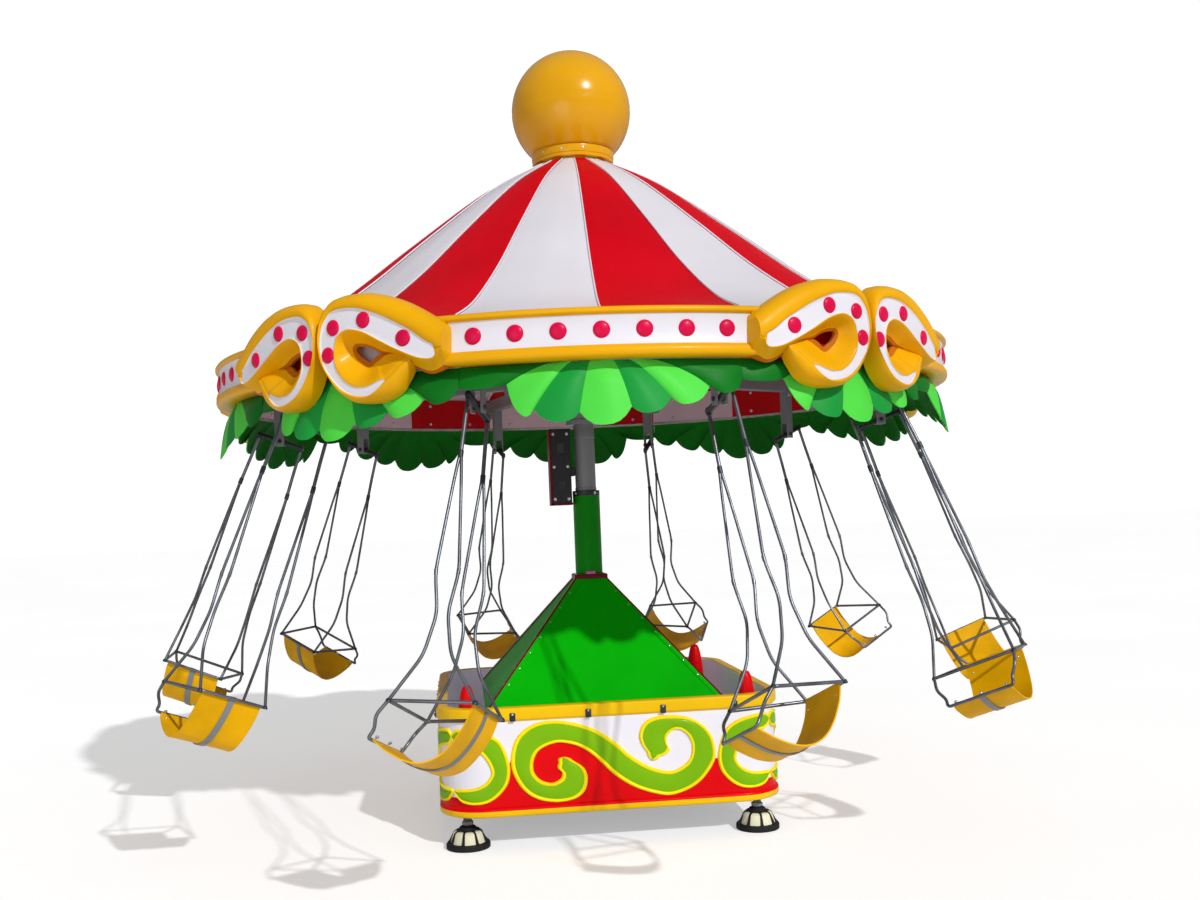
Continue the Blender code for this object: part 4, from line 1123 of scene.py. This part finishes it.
def build_garland():
    """Two fans of seven leaves in each module."""
    shape = Shape()
    for fan in range(2):
        for leaf, tone in enumerate(LEAF_TONES):
            shape.sheet(*leaf_rows(fan, leaf), (tone, 3, tone, 2))
    mesh = mesh_of(shape, "garland_module", [LEAF_LIGHT, LEAF_MID, LEAF_DARK, LEAF_BACK], 50)
    put_modules(mesh, "garland_leaves", "garland")


# Chairs

def rounded_path(points, radius, count=5):
    """Rounds each bend of a path."""
    points = [Vector(p) for p in points]
    out = [points[0]]
    for before, corner, after in zip(points, points[1:], points[2:]):
        near = min(radius, (before - corner).length * 0.45, (after - corner).length * 0.45)
        a = corner + (before - corner).normalized() * near
        b = corner + (after - corner).normalized() * near
        for k in range(count + 1):
            t = k / count
            out.append(a * (1 - t) ** 2 + corner * 2 * t * (1 - t) + b * t * t)
    out.append(points[-1])
    return out


SEAT_HALF = 0.1078
SEAT_LINE = [(0.1239, 0.004), (0.105, -0.053), (0.069, -0.113), (0.026, -0.155)]
SEAT_LINE += [(-0.026, -0.171), (-0.081, -0.162), (-0.132, -0.137), (-0.180, -0.104)]
BENDS = [(0.110, 0.038, 0.600), (0.113, 0.017, 0.730), (0.121, 0.043, 0.860)]
FRONT_BAR = (-0.1874, -0.104)
LOOP_HALF = 0.120


def below_ring(x, y, z):
    """A point of the chair from its place under the arm ring."""
    return Vector((x, y, z - RING_DROP))


def seat_frames(count):
    """(point, direction) pairs along the middle of the seat sheet, from the back's top to the front edge."""
    line = [Vector(p) for p in smoothed([(y, z - RING_DROP) for y, z in SEAT_LINE], count)]
    out = []
    for i, point in enumerate(line):
        along = line[min(i + 1, len(line) - 1)] - line[max(i - 1, 0)]
        out.append((point, along.normalized()))
    return out


def off_seat(frame_at, x, distance):
    """A point on the seat's underside, or above it for a distance below zero."""
    point, along = frame_at
    return (x, point.x - along.y * distance, point.y + along.x * distance)


def build_chair_frame():
    """Top bar on its pin, four bent rods, the arm ring, the front loop and the strap under the seat."""
    shape = Shape()
    shape.box((-0.1000, -0.0090, -0.0090), (0.1000, 0.0090, 0.0090), 1, 0.002)
    pin = [(0, -0.0270), (0.0075, -0.0270), (0.0080, -0.0262)]
    pin += [(r, -y) for r, y in reversed(pin)]
    shape.turned(pin, 16, 1, Matrix.Rotation(math.pi / 2, 4, "X"))
    for side in (-1, 1):
        add_hangers(shape, side)
    (back_x, back_y), (x, y), (bar_y, bar_z) = RING_REAR, RING_FRONT, FRONT_BAR
    ring = [below_ring(*p, 0) for p in ((-back_x, back_y), (back_x, back_y), (x, y), (-x, y))]
    middle = (ring[0] + ring[1]) / 2
    shape.tube(rounded_path([middle, *ring[1:], ring[0], middle], 0.020), RING_ROD)
    for corner in ring:
        shape.dome(facing(corner + Vector((0, 0, -0.002)), (0, 0, 1)), 0.0084, 0.0100, 1, 12, 4)
    loop = [(x, y, 0), (x - 0.004, y - 0.036, -0.042)]
    loop += [(LOOP_HALF, bar_y + 0.0173, bar_z + 0.025), (LOOP_HALF, bar_y, bar_z)]
    loop = [below_ring(*p) for p in loop + [(-x, y, z) for x, y, z in reversed(loop)]]
    shape.tube(rounded_path(loop, 0.018), RING_ROD - 0.0002)
    rows = []
    for frame_at in seat_frames(5):
        corners = ((-0.0105, 0.0026), (0.0105, 0.0026), (0.0105, 0.0060), (-0.0105, 0.0060))
        rows.append([off_seat(frame_at, x, d) for x, d in corners])
    rows[0] = [(x, y + 0.004, z + 0.004) for x, y, z in rows[0]]
    shape.loft(rows, 3)
    for x in (-0.092, 0.0, 0.092):
        at = below_ring(x, bar_y + 0.0150, bar_z + 0.0085)
        shape.dome(facing(at, (0, -0.45, 0.9)), 0.0062, 0.0038, 2, 14, 3)
    return shape


def add_hangers(shape, side):
    """One strand from the end of the top bar, and the two bent rods that it splits into."""
    strand = [(side * 0.091, 0, 0.004), (side * 0.0955, 0, -0.110), (side * 0.102, 0, -0.222)]
    shape.tube(strand, 0.0068, 12)
    sleeve = [(0, -0.0140), (0.0082, -0.0140), (0.0082, 0.0125), (0, 0.0125)]
    shape.turned(sleeve, 14, 1, shifted(side * 0.091, 0, 0))
    shape.tube([(side * 0.1012, 0, -0.198), (side * 0.1022, 0, -0.224)], 0.0088, 12, 1)
    for sign, (half, y) in ((-1, RING_FRONT), (1, RING_REAR)):
        path = [(side * 0.102, sign * 0.002, -0.205), (side * 0.1045, sign * 0.012, -0.300)]
        path += [(side * x, sign * bend, -drop) for x, bend, drop in BENDS]
        path.append(below_ring(side * half, y, 0))
        shape.tube(rounded_path(path, 0.034), 0.0053)
        x, bend, drop = BENDS[0]
        clamp = [(side * x, sign * bend * 0.97, 0.010 - drop), (side * x, sign * bend * 0.94, -0.008 - drop)]
        shape.tube(clamp, 0.0064, 8)


def build_seat():
    """A bent sheet with rolled edges, rounded corners and rivets."""
    shape = Shape()
    frames = seat_frames(6)
    last = len(frames) - 1
    shares = [-1.0, -0.99, -0.955, -0.85, -0.57, -0.28, 0.0, 0.28, 0.57, 0.85, 0.955, 0.99, 1.0]
    top, under = [], []
    for i, frame_at in enumerate(frames):
        narrow = 1.0 - 0.03 * max(0, 3 - i) / 3 - 0.05 * max(0, i - last + 3) / 3
        upper, lower = [], []
        for share in shares:
            x = share * SEAT_HALF * narrow
            roll = 0.0008 if abs(share) > 0.90 else 0.0
            fold = 0.0006 * noise.noise(Vector((x * 14, i * 0.35, 2.0)))
            upper.append(off_seat(frame_at, x, -0.0019 - roll * 0.2 + fold))
            lower.append(off_seat(frame_at, x, 0.0019 + roll + fold))
        top.append(upper)
        under.append(lower)
    shape.sheet(top, under, (0, 0, 0, 0))
    for i in (4, last - 3):
        along = frames[i][1]
        for x in (-0.088, 0.088):
            at = off_seat(frames[i], x, -0.0012)
            shape.dome(facing(at, (0, along.y, -along.x)), 0.0042, 0.0028, 1, 10, 3)
    return shape


def build_chairs():
    frame_mesh = mesh_of(build_chair_frame(), "chair_frame", [STEEL, DARK_STEEL, BRIGHT, GREY], 50)
    seat_mesh = mesh_of(build_seat(), "chair_seat", [SEAT, BRIGHT], 50)
    for number in range(CHAIRS):
        angle = chair_angle(number)
        place = polar(angle, PIVOT_RADIUS, PIVOT_LEVEL)
        hung = turn_z(ROTOR_YAW) @ Matrix.Translation(place) @ turn_z(angle - math.pi / 2)
        swung = hung @ Matrix.Rotation(-SWING, 4, "Y")
        label = f"{number + 1:02d}"
        body = f"chair_{label}"
        put(frame_mesh, f"chair_wires_{label}", body, f"chair_frame_{label}", swung)
        put(seat_mesh, f"chair_shell_{label}", body, f"chair_seat_{label}", swung)


add_camera()
add_room()
add_lights()
build_tub()
build_floor()
build_chassis()
build_feet()
build_domes()
build_cover()
build_hips()
build_mast()
build_inner_mast()
build_drive_box()
build_head()
build_canopy_frame()
build_roof()
build_roof_edge()
build_collar()
build_ball()
build_crown()
build_garland()
build_chairs()
